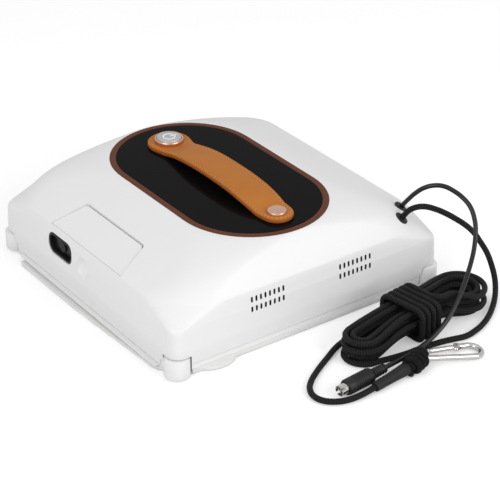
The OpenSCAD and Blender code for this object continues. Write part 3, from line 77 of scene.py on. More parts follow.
print("camera at", [round(c, 3) for c in place])

# %% [markdown]
# ## Shader maths
# A procedural material is a sum of patterns. The Wire class wraps a node's output, so that patterns are
# written as plain expressions, and Paint holds one material and adds its nodes. Most surfaces here are
# speckled: their colour and roughness follow one noise.


# %% Wire
class Wire:
    def __init__(self, paint, socket):
        self.paint, self.socket = paint, socket

    def math(self, operation, *others):
        return self.paint.add("Math", {"operation": operation}, {i: v for i, v in enumerate((self, *others))}, 0)

    def __add__(self, other):
        return self.math("ADD", other)

    def __mul__(self, other):
        return self.math("MULTIPLY", other)

    def __sub__(self, other):
        return self.math("SUBTRACT", other)

    def __rsub__(self, other):
        return self.paint.add("Math", {"operation": "SUBTRACT"}, {0: other, 1: self}, 0)

    __radd__, __rmul__ = __add__, __mul__

    def ramp(self, low, high):
        return self.paint.add("MapRange", {"clamp": True}, {0: self, 1: low, 2: high, 3: 0.0, 4: 1.0}, 0)


# %% Paint
class Paint:
    def __init__(self, name, color, roughness, metallic=0.0, **settings):
        self.material = bpy.data.materials.new(name)
        self.material.use_nodes = True
        self.tree = self.material.node_tree
        self.shader = self.tree.nodes["Principled BSDF"]
        self.shader.inputs["Base Color"].default_value = (*color, 1)
        self.shader.inputs["Roughness"].default_value = roughness
        self.shader.inputs["Metallic"].default_value = metallic
        for key, value in settings.items():
            self.shader.inputs[key.replace("_", " ").title().replace("Ior", "IOR")].default_value = value

    def put(self, socket, value):
        if isinstance(value, Wire):
            self.tree.links.new(value.socket, socket)
        else:
            socket.default_value = value

    def add(self, kind, settings, values, out):
        node = self.tree.nodes.new("ShaderNode" + kind)
        for key, value in settings.items():
            setattr(node, key, value)
        for key, value in values.items():
            self.put(node.inputs[key], value)
        return Wire(self, node.outputs[out])

    def place(self, kind="Object"):
        return self.add("TexCoord", {}, {}, kind)

    def noise(self, scale, detail=2.0):
        return self.add("TexNoise", {}, {"Vector": self.place(), "Scale": scale, "Detail": detail}, 0)

    def mix(self, mask, *ends):
        a, b = ((*c, 1) if isinstance(c, tuple) else c for c in ends)
        return self.add("Mix", {"data_type": "RGBA"}, {0: mask, 6: a, 7: b}, 2)

    def feed(self, name, value):
        self.put(self.shader.inputs[name], value)
        return self

    def bump(self, height, strength, distance):
        normal = self.add("Bump", {}, {"Height": height, "Strength": strength, "Distance": distance}, 0)
        return self.feed("Normal", normal)


# %% Speckled and plain finishes
def grey(value):
    return (value,) * 3


def speckle(name, tones, rough, scale=300.0, detail=3.0, bump=None, **settings):
    """A material between two tones, with a roughness from low to low + span, both over one noise."""
    low, span = rough
    paint = Paint(name, tones[0], low, **settings)
    grain = paint.noise(scale, detail)
    paint.feed("Base Color", paint.mix(grain, *tones))
    if span:
        paint.feed("Roughness", low + grain * span)
    if bump:
        paint.bump(grain, *bump)
    return paint.material


def plain(name, first, second, rough, height=0.0, **settings):
    bump = (0.3, height) if height else None
    return speckle(name, (first, second), (rough * 0.85, rough * 0.3), bump=bump, **settings)


# %% [markdown]
# ## Mesh helpers
# The pieces are drawn in millimetres and shrunk to metres at the end. A ring of points is raised from the
# last one by extruding its edges, which makes lofts; an outline becomes a prism; and a profile is spun round
# an axis. Each finished piece rides on a body, stands for its solid, and gets its material.


# %% Finish a piece
WELD = 1e-4
QUARTER_X = Matrix.Rotation(math.radians(90), 4, "X")
QUARTER_Y = Matrix.Rotation(math.radians(90), 4, "Y")


def dress(piece, body, replaces):
    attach(piece, body)
    if replaces:
        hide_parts(*replaces)
    return piece


def finish(name, bm, body, material, replaces=(), angle=30.0, tidy=True):
    if tidy:
        bmesh.ops.remove_doubles(bm, verts=bm.verts, dist=WELD)
        bmesh.ops.recalc_face_normals(bm, faces=bm.faces)
    bmesh.ops.scale(bm, vec=(MM, MM, MM), verts=bm.verts)
    mesh = bpy.data.meshes.new(name)
    bm.to_mesh(mesh)
    bm.free()
    mesh.shade_smooth()
    mesh.set_sharp_from_angle(angle=math.radians(angle))
    mesh.materials.append(material)
    print(name, len(mesh.polygons), "faces")
    return dress(in_scene(name, mesh), body, replaces)


def moved(bm, matrix):
    bmesh.ops.transform(bm, matrix=matrix, verts=bm.verts)
    return bm


def turned_to(axis, start=(0, 0, 1)):
    return Vector(start).rotation_difference(Vector(axis)).to_matrix().to_4x4()


# %% Lofts
def raise_ring(bm, rim, points):
    edges = [bm.edges.get((a, b)) for a, b in zip(rim, rim[1:] + rim[:1])]
    made = bmesh.ops.extrude_edge_only(bm, edges=edges)["geom"]
    fresh = {g for g in made if isinstance(g, bmesh.types.BMVert)}
    new = [next(e.other_vert(v) for e in v.link_edges if e.other_vert(v) in fresh) for v in rim]
    for v, p in zip(new, points):
        v.co = p
    return new


def raised(bm, rings, cap=False):
    """Raises each ring from the last one, and gives back the first rim and the last."""
    first = rim = bmesh.ops.create_circle(bm, cap_ends=cap, segments=len(rings[0]), radius=1)["verts"]
    for v, p in zip(rim, rings[0]):
        v.co = p
    for points in rings[1:]:
        rim = raise_ring(bm, rim, points)
    return first, rim


def loft(rings):
    bm = bmesh.new()
    bm.faces.new(raised(bm, rings, cap=True)[1])
    return bm


# %% Prisms, arcs and lathes
def prism(outline, z0, z1):
    bm = bmesh.new()
    face = bm.faces.new([bm.verts.new((x, y, z0)) for x, y in outline])
    made = bmesh.ops.extrude_face_region(bm, geom=[face])["geom"]
    verts = [g for g in made if isinstance(g, bmesh.types.BMVert)]
    bmesh.ops.translate(bm, vec=(0, 0, z1 - z0), verts=verts)
    return bm


def rounded(points, radius, steps=4):
    """A polyline whose inner corners are turned into arcs."""
    line = [Vector(points[0])]
    for a, b, c in zip(points, points[1:], points[2:]):
        a, b, c = Vector(a), Vector(b), Vector(c)
        cut = min(radius, (a - b).length / 2.2, (c - b).length / 2.2)
        p, q = b + (a - b).normalized() * cut, b + (c - b).normalized() * cut
        line += [(1 - t) ** 2 * p + 2 * t * (1 - t) * b + t * t * q for t in (i / steps for i in range(steps + 1))]
    return line + [Vector(points[-1])]


def lathe(profile, centre=(0, 0, 0), axis=(0, 0, 1), steps=64):
    bm = bmesh.new()
    verts = [bm.verts.new((r, 0, z)) for r, z in profile]
    edges = [bm.edges.new(pair) for pair in zip(verts, verts[1:])]
    bmesh.ops.spin(bm, geom=verts + edges, cent=(0, 0, 0), axis=(0, 0, 1), angle=math.tau, steps=steps,
                   use_merge=True)
    bmesh.ops.remove_doubles(bm, verts=bm.verts, dist=WELD)
    return moved(bm, Matrix.Translation(centre) @ turned_to(axis))


def stadium_outline(w, l, n=48):
    return [(w / 2 * math.cos(a), s * (l - w) / 2 + w / 2 * math.sin(a))
            for s, first in ((1, 0), (-1, math.pi)) for a in (first + math.pi * i / n for i in range(n + 1))]


# %% Simple solids
def cylinder(r, z0, z1, place=(0, 0), steps=48):
    bm = bmesh.new()
    bmesh.ops.create_cone(bm, cap_ends=True, segments=steps, radius1=r, radius2=r, depth=z1 - z0,
                          matrix=Matrix.Translation((*place, (z0 + z1) / 2)))
    return bm


def block(low, high):
    bm = bmesh.new()
    size = [b - a for a, b in zip(low, high)]
    middle = [(a + b) / 2 for a, b in zip(low, high)]
    bmesh.ops.create_cube(bm, size=1, matrix=Matrix.Translation(middle) @ Matrix.Diagonal((*size, 1)))
    return bm


def ball(r, place):
    bm = bmesh.new()
    bmesh.ops.create_uvsphere(bm, u_segments=64, v_segments=48, radius=r, matrix=Matrix.Translation(place))
    return bm


# %% Joining and cutting
def joined(parts):
    whole = bmesh.new()
    for part in parts:
        mesh = bpy.data.meshes.new("part")
        part.to_mesh(mesh)
        part.free()
        whole.from_mesh(mesh)
        bpy.data.meshes.remove(mesh)
    return whole


def as_object(bm):
    mesh = bpy.data.meshes.new("tool")
    bmesh.ops.recalc_face_normals(bm, faces=bm.faces)
    bm.to_mesh(mesh)
    bm.free()
    return in_scene("tool", mesh)


def evaluated(thing):
    return thing.evaluated_get(bpy.context.evaluated_depsgraph_get())


def carve(bm, cuts, operation="DIFFERENCE"):
    """The solid with each cutter taken away, kept in common or added."""
    base = as_object(bm)
    tools = [as_object(c) for c in cuts]
    for tool in tools:
        change = base.modifiers.new("cut", "BOOLEAN")
        change.operation, change.solver, change.object = operation, "EXACT", tool
    mesh = bpy.data.meshes.new_from_object(evaluated(base))
    for thing in [base, *tools]:
        bpy.data.objects.remove(thing)
    made = bmesh.new()
    made.from_mesh(mesh)
    return made


# %% [markdown]
# ## Cords
# The black power cable and the braided rope leave the cover at one corner. The rope falls to the floor, runs
# into a hank, and leaves it as a tail that ends in a sleeve, a knot and the snap hook. The routes repeat the
# solids' own points. Each cord is one curve with one spline, so it is one unbroken length.

# %% Routes in millimetres
CABLE_D, ROPE_D = 3.6, 4.4
cable_route = [
    (100, -89, 51), (104, -93, 59), (106, -97, 65), (108, -102.5, 72), (111.5, -108, 77.5), (116, -113, 80),
    (121, -118, 80), (126, -123.5, 77), (129.5, -130, 73), (131, -137, 68), (130, -143, 62),
    (127.5, -148, 56), (124, -152, 50), (119, -156.5, 44), (113, -161, 39), (106, -166, 35), (97, -172, 30),
    (86, -178, 24), (74.5, -183, 17), (62, -186, 11), (48.5, -188.5, 7), (34, -191, 6), (20, -193.2, 6),
    (6, -194.8, 6)]
rope_route = [
    (89.5, -102.5, 51), (93.5, -106.5, 59), (96, -109.5, 64), (99, -113, 67), (103.5, -118, 68.5),
    (109, -123, 67), (116, -127, 63), (124, -130.5, 57), (131, -133.5, 51), (137, -136.5, 44),
    (141.5, -139.5, 36), (144.5, -144, 28), (145.5, -149, 19), (144, -154.5, 12), (139, -161.5, 7),
    (132, -168.5, 4), (122.5, -176, 2.2), (113, -182.5, 2.2), (103.5, -187.5, 2.2), (93, -191, 2.2),
    (83, -192.5, 2.2), (74, -190.5, 2.2), (66, -188.5, 2.2), (58, -187.3, 2.2)]
tail_route = [
    (14, -145.5, 2.2), (5, -147.5, 2.2), (-4, -151, 2.2), (-14, -156.5, 2.2), (-24, -162, 2.2),
    (-34, -168, 2.2), (-43, -174.5, 2.2), (-49.5, -182, 2.2), (-52, -190, 2.2), (-50, -197.5, 2.2),
    (-44.5, -203, 2.2), (-36.5, -206.5, 2.2), (-28, -208, 2.8), (-20, -208, 3.4), (-13, -207.3, 4)]

# %% [markdown]
# The hank is eight long loops, laid two by two in four layers, with five wrappings round its waist. Its points
# are worked out turn by turn, so that neighbours lie beside and on each other without cutting in.

# %% Loops of the hank
HANK_PLACE, HANK_TURN = (58, -161), math.radians(7)
LAYERS, TURNS, WRAPS, STEP, RISE = 4, 2, 5, 5.3, 4.9
LOBE_U, WAIST_U, WAIST_V, LEFT_R, RIGHT_R = 50, 20, 2.7, 5, 9
WRAP_PITCH, WRAP_U = 5.6, 13
LOOP_N, RUN_N, END_N = 24, 4, 8
r_rope = ROPE_D / 2


def lerp(a, b, t):
    return a + (b - a) * t


def share(t):
    return min(1, max(0, t))


def run_v(q, u):
    away = share((abs(u) - WAIST_U) / (LOBE_U - WAIST_U))
    return lerp(WAIST_V, RIGHT_R if u > 0 else LEFT_R, away) + q * STEP


def bed(u):
    return r_rope + RISE * share((LOBE_U - abs(u)) / (LOBE_U - WAIST_U))


def loop_point(turn, ring):
    layer = turn // TURNS
    f = turn - layer * TURNS + ring / LOOP_N
    q = f if layer % 2 else TURNS - f
    climbs = turn % TURNS == 0 and turn > 0
    w = RISE * (layer - (1 - share(ring / RUN_N) if climbs else 0))
    stops = (LOBE_U, WAIST_U, 0, -WAIST_U, -LOBE_U)
    if ring <= RUN_N:
        u = stops[ring]
        return (u, -run_v(q, u), bed(u) + w)
    if ring < RUN_N + END_N:
        a, r = math.pi * (ring - RUN_N) / END_N, LEFT_R + q * STEP
        return (-LOBE_U - r * math.sin(a), -r * math.cos(a), r_rope + w)
    if ring <= 2 * RUN_N + END_N:
        u = -stops[ring - RUN_N - END_N]
        return (u, run_v(q, u), bed(u) + w)
    a, r = math.pi * (ring - 2 * RUN_N - END_N) / END_N, RIGHT_R + q * STEP
    return (LOBE_U + r * math.sin(a), r * math.cos(a), r_rope + w)


# %% Wrappings and the whole hank
def wrap_outline():
    v, low = WAIST_V + TURNS * STEP, r_rope + RISE
    high = low + (LAYERS - 1) * RISE

    def arc(cv, cw, start):
        return [(cv + RISE * math.cos(a), cw + RISE * math.sin(a))
                for a in (math.radians(start - 90 * i / 3) for i in (1, 2, 3))]

    line = [(lerp(-v, v, i / 4), high + RISE) for i in range(5)] + arc(v, high, 90)
    line += [(v + RISE, lerp(high, low, i / 2)) for i in (1, 2)] + arc(v, low, 0)
    line += [(lerp(v, -v, i / 4), low - RISE) for i in range(1, 5)] + arc(-v, low, -90)
    return line + [(-v - RISE, lerp(low, high, i / 2)) for i in (1, 2)] + arc(-v, high, 180)[:2]


def hank_route():
    wrap = wrap_outline()
    lift = r_rope + RISE * (LAYERS + 1)
    line = [(-14, -23.5, 2.2), (-26, -21.5, 2.2), (-38, -18.5, 2.2)]
    line += [loop_point(t, i) for t in range(LAYERS * TURNS) for i in range(0 if t else RUN_N, LOOP_N)]
    line += [(LOBE_U, -run_v(TURNS, LOBE_U), r_rope + (LAYERS - 1) * RISE), (36, -16.5, 22.5),
             (26, -14, lift), (18, -12.5, lift)]
    for k in range(1, (WRAPS - 1) * len(wrap) + 10):
        v, w = wrap[k % len(wrap)]
        line.append((WRAP_U - WRAP_PITCH * k / len(wrap), v, w))
    line += [(-16, 19.5, 3.5), (-24, 20.5, 2.2), (-34, 20.9, 2.2)]
    c, s = math.cos(HANK_TURN), math.sin(HANK_TURN)
    return [(HANK_PLACE[0] + u * c - v * s, HANK_PLACE[1] + u * s + v * c, w) for u, v, w in line]


# %% Braid
def cord_paint(name, length, diameter, strands, dark, crest_highlight, height):
    """Crossing strands on the curve's own map, which runs along the cord and round it."""
    paint = Paint(name, dark, 0.55, specular_ior_level=0.2)
    along = paint.add("SeparateXYZ", {}, {0: paint.place("UV")}, 0)
    across = Wire(paint, along.socket.node.outputs[1])
    lengthwise = along * (length / (diameter * 0.75) * math.tau)
    crosswise = across * (strands * math.tau)
    one, two = (lengthwise + crosswise).math("SINE"), (lengthwise - crosswise).math("SINE")
    weave = (one * two).ramp(-1.0, 1.0)
    fuzz = paint.noise(900.0, 3.0)
    # The strands' crests are painted lighter as a painted highlight, and the gaps between them darker as painted
    # shade; the fuzz adds random tone.
    paint.feed("Base Color", paint.mix((weave * 0.75 + fuzz * 0.35).ramp(0.25, 0.95), dark, crest_highlight))
    paint.feed("Roughness", 0.75 - weave * 0.3)
    return paint.bump(weave + fuzz * 0.3, 0.9, height).material


# %% Curves for the cords
def smooth_curve(name, points, resolution):
    line = bpy.data.curves.new(name, "CURVE")
    line.dimensions, line.resolution_u = "3D", resolution
    spline = line.splines.new("BEZIER")
    spline.bezier_points.add(len(points) - 1)
    for knot, p in zip(spline.bezier_points, points):
        knot.co = Vector(p) * MM
        knot.handle_left_type = knot.handle_right_type = "AUTO"
    piece = in_scene(name, line)
    bpy.context.view_layer.update()
    return piece


def evenly(points, step):
    """The same smooth line, with its points at even distances, so that the braid isn't stretched."""
    piece = smooth_curve("guide", points, 12)
    dense = [v.co / MM for v in evaluated(piece).to_mesh().vertices]
    bpy.data.objects.remove(piece)
    marks = [0.0]
    for a, b in zip(dense, dense[1:]):
        marks.append(marks[-1] + (b - a).length)
    count = max(4, round(marks[-1] / step))
    made, k = [], 0
    for i in range(count + 1):
        at = marks[-1] * i / count
        while k < len(marks) - 2 and marks[k + 1] < at:
            k += 1
        made.append(dense[k].lerp(dense[k + 1], (at - marks[k]) / (marks[k + 1] - marks[k])))
    return made


def cord_curve(name, points, diameter, material, sides=4, step=3.0):
    piece = smooth_curve(name, evenly(points, step), 3)
    line = piece.data
    line.bevel_depth, line.bevel_resolution = diameter / 2 * MM, sides
    line.use_fill_caps = True
    line.materials.append(material)
    length = line.splines[0].calc_length()
    print(name, round(length, 3), "m")
    return piece, length


def length_of(points):
    return sum((Vector(a) - Vector(b)).length for a, b in zip(points, points[1:])) * MM


# %% Rope and cable
rope_points = rope_route + hank_route() + tail_route
# The rope's second, lighter tone is the painted highlight on the strands' crests.
braid = cord_paint("braided rope", length_of(rope_points), ROPE_D * MM, 6, grey(0.0015), (0.020, 0.020, 0.021),
                   0.0006)
sheath = Paint("cable sheath", (0.008, 0.008, 0.009), 0.3, specular_ior_level=0.45)
sheath.feed("Roughness", 0.24 + sheath.noise(500.0) * 0.14)
sheath.feed("Base Color", sheath.mix(sheath.noise(60.0), (0.004, 0.004, 0.0045), (0.010, 0.010, 0.011)))
rope, rope_length = cord_curve("braided_rope", rope_points, ROPE_D, braid)
dress(rope, "case", ["safety_rope", "rope_hank", "rope_tail"])
cable, cable_length = cord_curve("power_lead", cable_route, CABLE_D, sheath.material)
dress(cable, "case", ["power_cable"])

# %% [markdown]
# ## The moulded cover
# One injection moulding of white plastic, drawn in a little at the foot, widest at the waist, and crowned up
# to the deck with the belly of each corner pulled in. The outline of each height is a rounded rectangle, so
# the cover is a loft of such rings. Where walls change direction the loft gets soft fillets, which catch the
# thin light lines that a moulding shows. Openings are cut last, from the same plans as the solids. A thin skirt
# closes the foot at the front, and the side walls of the vents are painted near-black as painted shade.

# %% Outline and rings of the cover
WAIST, COLUMN, CREST, FOOT_Z, CREST_Z, DECK_Z = 119.3, 118.6, 117.5, 8.5, 51, 74.7
FOOT, FOOT_R, FOOT_TOP, WAIST_Z, COLUMN_Z, WALL_R = 117.6, 8.15, 9.3, 21, 38.5, 9
HEM, HEM_R, FILLET, FILLET_N = 117.0, 7.9, 2.6, 5
DECK_HX, DECK_HY, CREST_R, BELLY, REAR_R, REAR_BELLY, CROWN_POWER = 59.2, 101.7, 45, 22, 30, 3, 1.15
RECESS_HX, RECESS_HY, RECESS = 58.1, 100.6, 3
WALL, TOP_IN = 2.4, 69.3
CROWN_N, INNER_N, START = 22, 6, 0.08


def corners(hx, hy, r, n=16, rear_r=None):
    radii = (rear_r or r, r, r, r)
    return [(sx * (hx - q) + q * math.cos(a), sy * (hy - q) + q * math.sin(a))
            for c, (q, (sx, sy)) in enumerate(zip(radii, ((1, 1), (-1, 1), (-1, -1), (1, -1))))
            for a in (math.pi / 2 * (c + i / n) for i in range(n + 1))]


def ring(hx, hy, r, z, rear_r=None):
    return [Vector((x, y, z)) for x, y in corners(hx, hy, r, rear_r=rear_r)]


def crown_z(t, low=CREST_Z, high=DECK_Z):
    return low + (high - low) * (1 - (1 - t) ** CROWN_POWER)


def crown_size(t, inset):
    """Half sizes and corner radius of the top at a share of the way up."""
    return (lerp(CREST, DECK_HX, t) - inset, lerp(CREST, DECK_HY, t) - inset,
            lerp(CREST_R, DECK_HX, t) - BELLY * math.sin(math.pi * t) - inset)


def crown(t, inset=0.0, drop=0.0):
    """A ring of the top. The rear corner is squarer at the crest than the others."""
    rear_r = lerp(REAR_R, DECK_HX, t) - REAR_BELLY * math.sin(math.pi * t) - inset
    return ring(*crown_size(t, inset), crown_z(t) - drop, rear_r)


def wall_rings(inset, low, drop):
    levels = [(FOOT, FOOT_R, low), (WAIST, WALL_R, WAIST_Z), (COLUMN, WALL_R, COLUMN_Z - drop)]
    return [ring(h - inset, h - inset, r - inset / 2, z) for h, r, z in levels] + [crown(0, inset, drop)]


bend = [rounded(line, FILLET, FILLET_N)
        for line in zip(ring(HEM, HEM, HEM_R, FOOT_Z), *wall_rings(0, FOOT_TOP, 0), crown(START))]
outer_rings = [list(level) for level in zip(*bend)]
outer_rings += [crown(lerp(START, 1, i / CROWN_N)) for i in range(1, CROWN_N + 1)]
outer_rings += [ring(RECESS_HX, RECESS_HY, RECESS_HX, DECK_Z - down) for down in (0, RECESS)]
inner_rings = wall_rings(WALL, FOOT_Z - 1, WALL)
inner_rings += [ring(*crown_size(i / INNER_N, WALL), crown_z(i / INNER_N, CREST_Z - WALL, TOP_IN))
                for i in range(1, INNER_N + 1)]
print("rings", len(outer_rings), len(inner_rings))

# %% Plans of the lid, the window and the vents
LID_X0, LID_X1, LID_FRONT, LID_BACK = -115.9, -90.5, 48, 38
LID_Z, LID_REACH, LID_SINK, LID_T = (44, 80), (-121, -87.5), 0.8, 2.2
LID_GAP, BACK_GAP, LEDGE, LEDGE_T = 0.7, 0.9, 2.5, 1.6
HINGE_X, HINGE_Z, HEEL_R, LID_CORNER, CUT_CORNER = -92.5, 59.93, 2.84, 5.0, 4.0
WINDOW_Y, WINDOW_Z, WINDOW_HALF, WINDOW_R = 33.2, 37, (8.5, 16.5), 7
VENT_W, VENT_H, VENT_PITCH, VENT_N, VENT_Y = 1.7, 4.4, 3.9, 8, -117.5


def lid_prism(grow, back_grow, r=CUT_CORNER):
    x0, x1 = LID_X0 - grow, LID_X1 + back_grow
    w0, w1 = LID_FRONT + grow, LID_BACK + grow
    w2 = lerp(w1, w0, r / (x1 - x0))
    arc = [(x1 - r + r * math.cos(a), w2 - r + r * math.sin(a)) for a in (math.pi / 2 * i / 8 for i in range(9))]
    side = [(x, -y) for x, y in reversed(arc)]
    return prism([(x0, -w0)] + side + arc + [(x0, w0)], *LID_Z)


def slope_z(x):
    return crown_z(share((CREST + x) / (CREST - DECK_HX)))


def slope_band(x0, x1, top, bottom, half=70):
    """A slice between two depths under the front slope, as a prism turned on its side."""
    xs = [lerp(x0, x1, i / 14) for i in range(15)]
    side = [(x, slope_z(x) - top) for x in xs] + [(x, slope_z(x) - bottom) for x in reversed(xs)]
    return moved(prism(side, -half, half), QUARTER_X)


def window_outline(grow, n):
    return corners(*(h + grow for h in (*WINDOW_HALF, WINDOW_R)), n)


window_turn = Matrix.Translation((0, WINDOW_Y, WINDOW_Z)) @ QUARTER_Y @ Matrix.Rotation(math.pi, 4, "Z")
window_hole = moved(prism(window_outline(0.1, 8), -121, -112), window_turn)
vents = [moved(prism(stadium_outline(VENT_W, VENT_H, 10), -3, 3),
               Matrix.Translation((group + (i - (VENT_N - 1) / 2) * VENT_PITCH, VENT_Y, row)) @ QUARTER_X)
         for group in (-39, 39) for row in (36.3, 43.9) for i in range(VENT_N)]

# %% Cut the cover
SCOOP, SCOOP_R = (-125.557, 0.5, 35.6), 10.757
ROLLER, NOTCH_R, NOTCH_TOP = 112, 10.25, 16.6
BUTTON_Y, RIVET_Y, BUTTON_HOLE_R, RIVET_HOLE_R = 65, -75.5, 9.7, 3.1
SKIRT = (-117.55, -99, 4.7), (-116.85, 99, 9.8)
GROMMET_SEAT = [(0, 0), (4, 0), (4, 6.6), (5.5, 6.6), (5.5, 13.4), (0, 13.4)]


def strap_holes(z0, z1):
    return [cylinder(BUTTON_HOLE_R, z0, z1, (0, BUTTON_Y)), cylinder(RIVET_HOLE_R, z0, z1, (0, RIVET_Y))]


spots = [(sx * ROLLER, sy * ROLLER) for sx in (-1, 1) for sy in (-1, 1)]
ledge = carve(lid_prism(LID_GAP + LEDGE_T, BACK_GAP + LEDGE_T), [slope_band(-117.2, -88.2, 0, 4.9)], "INTERSECT")
housings = [cylinder(NOTCH_R + WALL, FOOT_Z - 2, NOTCH_TOP + 2.5, spot) for spot in spots]
ears = [block((HINGE_X - 3, y - 3, HINGE_Z - 3.2), (HINGE_X + 3, y + 3, HINGE_Z + 1.6)) for y in (-41.5, 41.5)]
cavity = carve(loft(inner_rings), [*housings, ledge, *ears, ball(SCOOP_R + WALL, SCOOP)])
lid_cut = carve(lid_prism(LID_GAP, BACK_GAP), [slope_band(*LID_REACH, -20, 3.3)], "INTERSECT")
hinge_room = carve(lid_prism(LID_GAP, BACK_GAP), [block((-95.5, -60, 40), (-80, 60, 90))], "INTERSECT")
notches = [cylinder(NOTCH_R, 0, NOTCH_TOP, spot) for spot in spots]
seats = [lathe(GROMMET_SEAT, start, Vector(after) - Vector(start), 40)
         for start, after in (cable_route[:2], rope_route[:2])]
shell = carve(loft(outer_rings), [cavity, lid_cut, lid_prism(-LEDGE, BACK_GAP), hinge_room, *strap_holes(60, 80),
                                  *notches, joined(vents), window_hole, ball(SCOOP_R, SCOOP), *seats])
shell = carve(shell, [block(*SKIRT)], "UNION")

# %% Paint the cover
white_shell = Paint("white shell", grey(0.80), 0.35, specular_ior_level=0.35)
cloudy = white_shell.noise(9.0, 2.0)
white_shell.feed("Roughness", 0.32 + cloudy * 0.12)
white_shell.feed("Base Color", white_shell.mix(cloudy, grey(0.79), grey(0.82)))
WHITE = white_shell.bump(white_shell.noise(700.0, 3.0), 0.12, 0.0002).material
cover = finish("moulded_cover", shell, "case", WHITE, ["top_cover"], 28)
# The side walls of the vent slots get a near-black material: painted shade inside the slots.
cover.data.materials.append(speckle("vent shade", (grey(0.02), grey(0.04)), (0.8, 0), 400.0, 2.0))
for face in cover.data.polygons:
    x, y, z = face.center / MM
    if abs(face.normal.y) < 0.5 and abs(y - VENT_Y) < 1.5 and 20 < abs(x) < 58 and 33 < z < 47:
        face.material_index = 1

# %% [markdown]
# ## The tank lid
# A trapezoid flap over the tank's filler, cut from the same slope and sunk a little, so that its gap shows as
# a fine line. It swings on a thin pin behind its inner edge, so its knuckle is bored for that pin.

# %% Tank lid
KNUCKLE_R, KNUCKLE_HALF, BORE_R = 1.4, 35.2, 0.86


def on_hinge(r, half, steps=24):
    return moved(cylinder(r, -half, half, steps=steps), Matrix.Translation((HINGE_X, 0, HINGE_Z)) @ QUARTER_X)


slab = carve(lid_prism(0, 0, LID_CORNER), [slope_band(*LID_REACH, LID_SINK, LID_SINK + LID_T)], "INTERSECT")
heel = carve(block((HINGE_X, -60, HINGE_Z - 10), (HINGE_X + 9, 60, HINGE_Z + 10)), [on_hinge(HEEL_R, 70, 96)])
slab = carve(slab, [heel])
slab = carve(slab, [on_hinge(KNUCKLE_R, KNUCKLE_HALF)], "UNION")
slab = carve(slab, [on_hinge(BORE_R, 60)])
finish("tank_flap", slab, "lid", WHITE, ["tank_lid"], 28)

# %% [markdown]
# ## Deck trim, bezel, button and rivet
# The copper band round the glossy panel is a stadium-shaped ring with softened edges. The bezel, the button
# and the rivet are turned parts, so each is a profile spun round its axis.


# %% Deck trim
def closed_loft(rings):
    bm = bmesh.new()
    ends = [bm.edges.get((a, b)) for r in raised(bm, rings) for a, b in zip(r, r[1:] + r[:1])]
    bmesh.ops.bridge_loops(bm, edges=ends)
    return bm


TRIM_W, TRIM_L, BAND, TRIM_Z0, TRIM_Z1 = 116, 201, 5, 71.7, 75
trim_section = rounded([(0, TRIM_Z0), (0, TRIM_Z1), (BAND, TRIM_Z1), (BAND, TRIM_Z0)], 0.5, 3)
trim = closed_loft([[Vector((x, y, z)) for x, y in stadium_outline(TRIM_W - 2 * d, TRIM_L - 2 * d)]
                    for d, z in trim_section])
copper = speckle("copper trim", ((0.100, 0.030, 0.014), (0.138, 0.044, 0.021)), (0.45, 0), 1500.0, 2.0,
                 (0.08, 0.0001), specular_ior_level=0.12)
finish("deck_trim", trim, "case", copper, ["trim_ring"], 35)

# %% Bezel, button and rivet
STRAP_TOP = 78.3
rose = Paint("rose gold", (0.80, 0.50, 0.38), 0.25, 1.0)
rose.feed("Roughness", 0.2 + rose.noise(300.0, 3.0) * 0.14)
bezel = [(8.1, 66.9), (9.55, 66.9), (9.55, STRAP_TOP + 0.02), (11.0, STRAP_TOP + 0.02),
         (11.3, STRAP_TOP + 0.4), (11.3, 80.6), (11.15, 81.15), (10.75, 81.5), (9.95, 81.5), (9.62, 81.2),
         (9.6, 79.2), (8.1, 79.2), (8.1, 66.9)]
bezel_bm = lathe(bezel, (0, BUTTON_Y, 0), steps=96)
finish("button_ring", bezel_bm, "case", rose.material, ["button_bezel"], 40)
brushed = speckle("brushed button", ((0.50, 0.51, 0.52), (0.60, 0.61, 0.62)), (0.34, 0.16), 900.0, 2.0,
                  metallic=0.6)
disc = [(0, 65.7), (2.45, 65.7), (2.45, 75), (7.85, 75), (7.85, 80.45), (9.35, 80.45), (9.4, 80.6),
        (9.4, 81.6), (9.2, 81.95), (8.85, 82.1), (0, 82.1)]
button_bm = lathe(disc, (0, BUTTON_Y, 0), steps=96)
finish("button_disc", button_bm, "button", brushed, ["power_button"], 30)
dome = [(0, 66.9), (2.95, 66.9), (2.95, STRAP_TOP + 0.02), (6.9, STRAP_TOP + 0.02), (7.25, 78.55),
        (7.25, 79.3), (6.95, 79.85), (6.4, 80.05), (5.9, 79.85), (5.5, 79.8), (4.0, 80.1), (2.0, 80.26),
        (0, 80.3)]
rivet_bm = lathe(dome, (0, RIVET_Y, 0), steps=80)
finish("strap_rivet", rivet_bm, "case", rose.material, ["handle_rivet"], 30)

# %% [markdown]
# ## The leather strap
# Two layers of leather over padding, sewn near the edge, with a round end under the bezel, a round end under
# the rivet and an arch between them for the fingers. It is a loft from the underside's middle line, out to
# the edge, over it, down into the sewn channel, and up the padding to the middle line on top.

# %% Widths, arch and padding of the strap
STRAP_Z, LEATHER_T = 75, 3.3
NECK, HALF, R_BUTTON, R_RIVET = 13.5, 14.5, 17.3, 12.6
NECK_Y, MIDDLE_Y, SHOULDER_Y = 44, 18, -50
ARCH_MID, ARCH_HALF, ARCH_RISE = -8.275, 58.975, 6.6


def ease(t):
    t = share(t)
    return t * t * (3 - 2 * t)


def strap_half(y):
    if y > NECK_Y:
        return NECK
    if y > SHOULDER_Y:
        return lerp(HALF, NECK, ease((y - MIDDLE_Y) / (NECK_Y - MIDDLE_Y)))
    return lerp(R_RIVET, HALF, ease((y - RIVET_Y) / (SHOULDER_Y - RIVET_Y)))


def lift(y):
    s = abs(y - ARCH_MID) / ARCH_HALF
    return 0 if s >= 1 else ARCH_RISE * (1 - s ** 2.5)


def pad(y):
    """Share of padding: none under the bezel and the rivet."""
    return ease((ARCH_HALF - abs(y - ARCH_MID)) / 14)


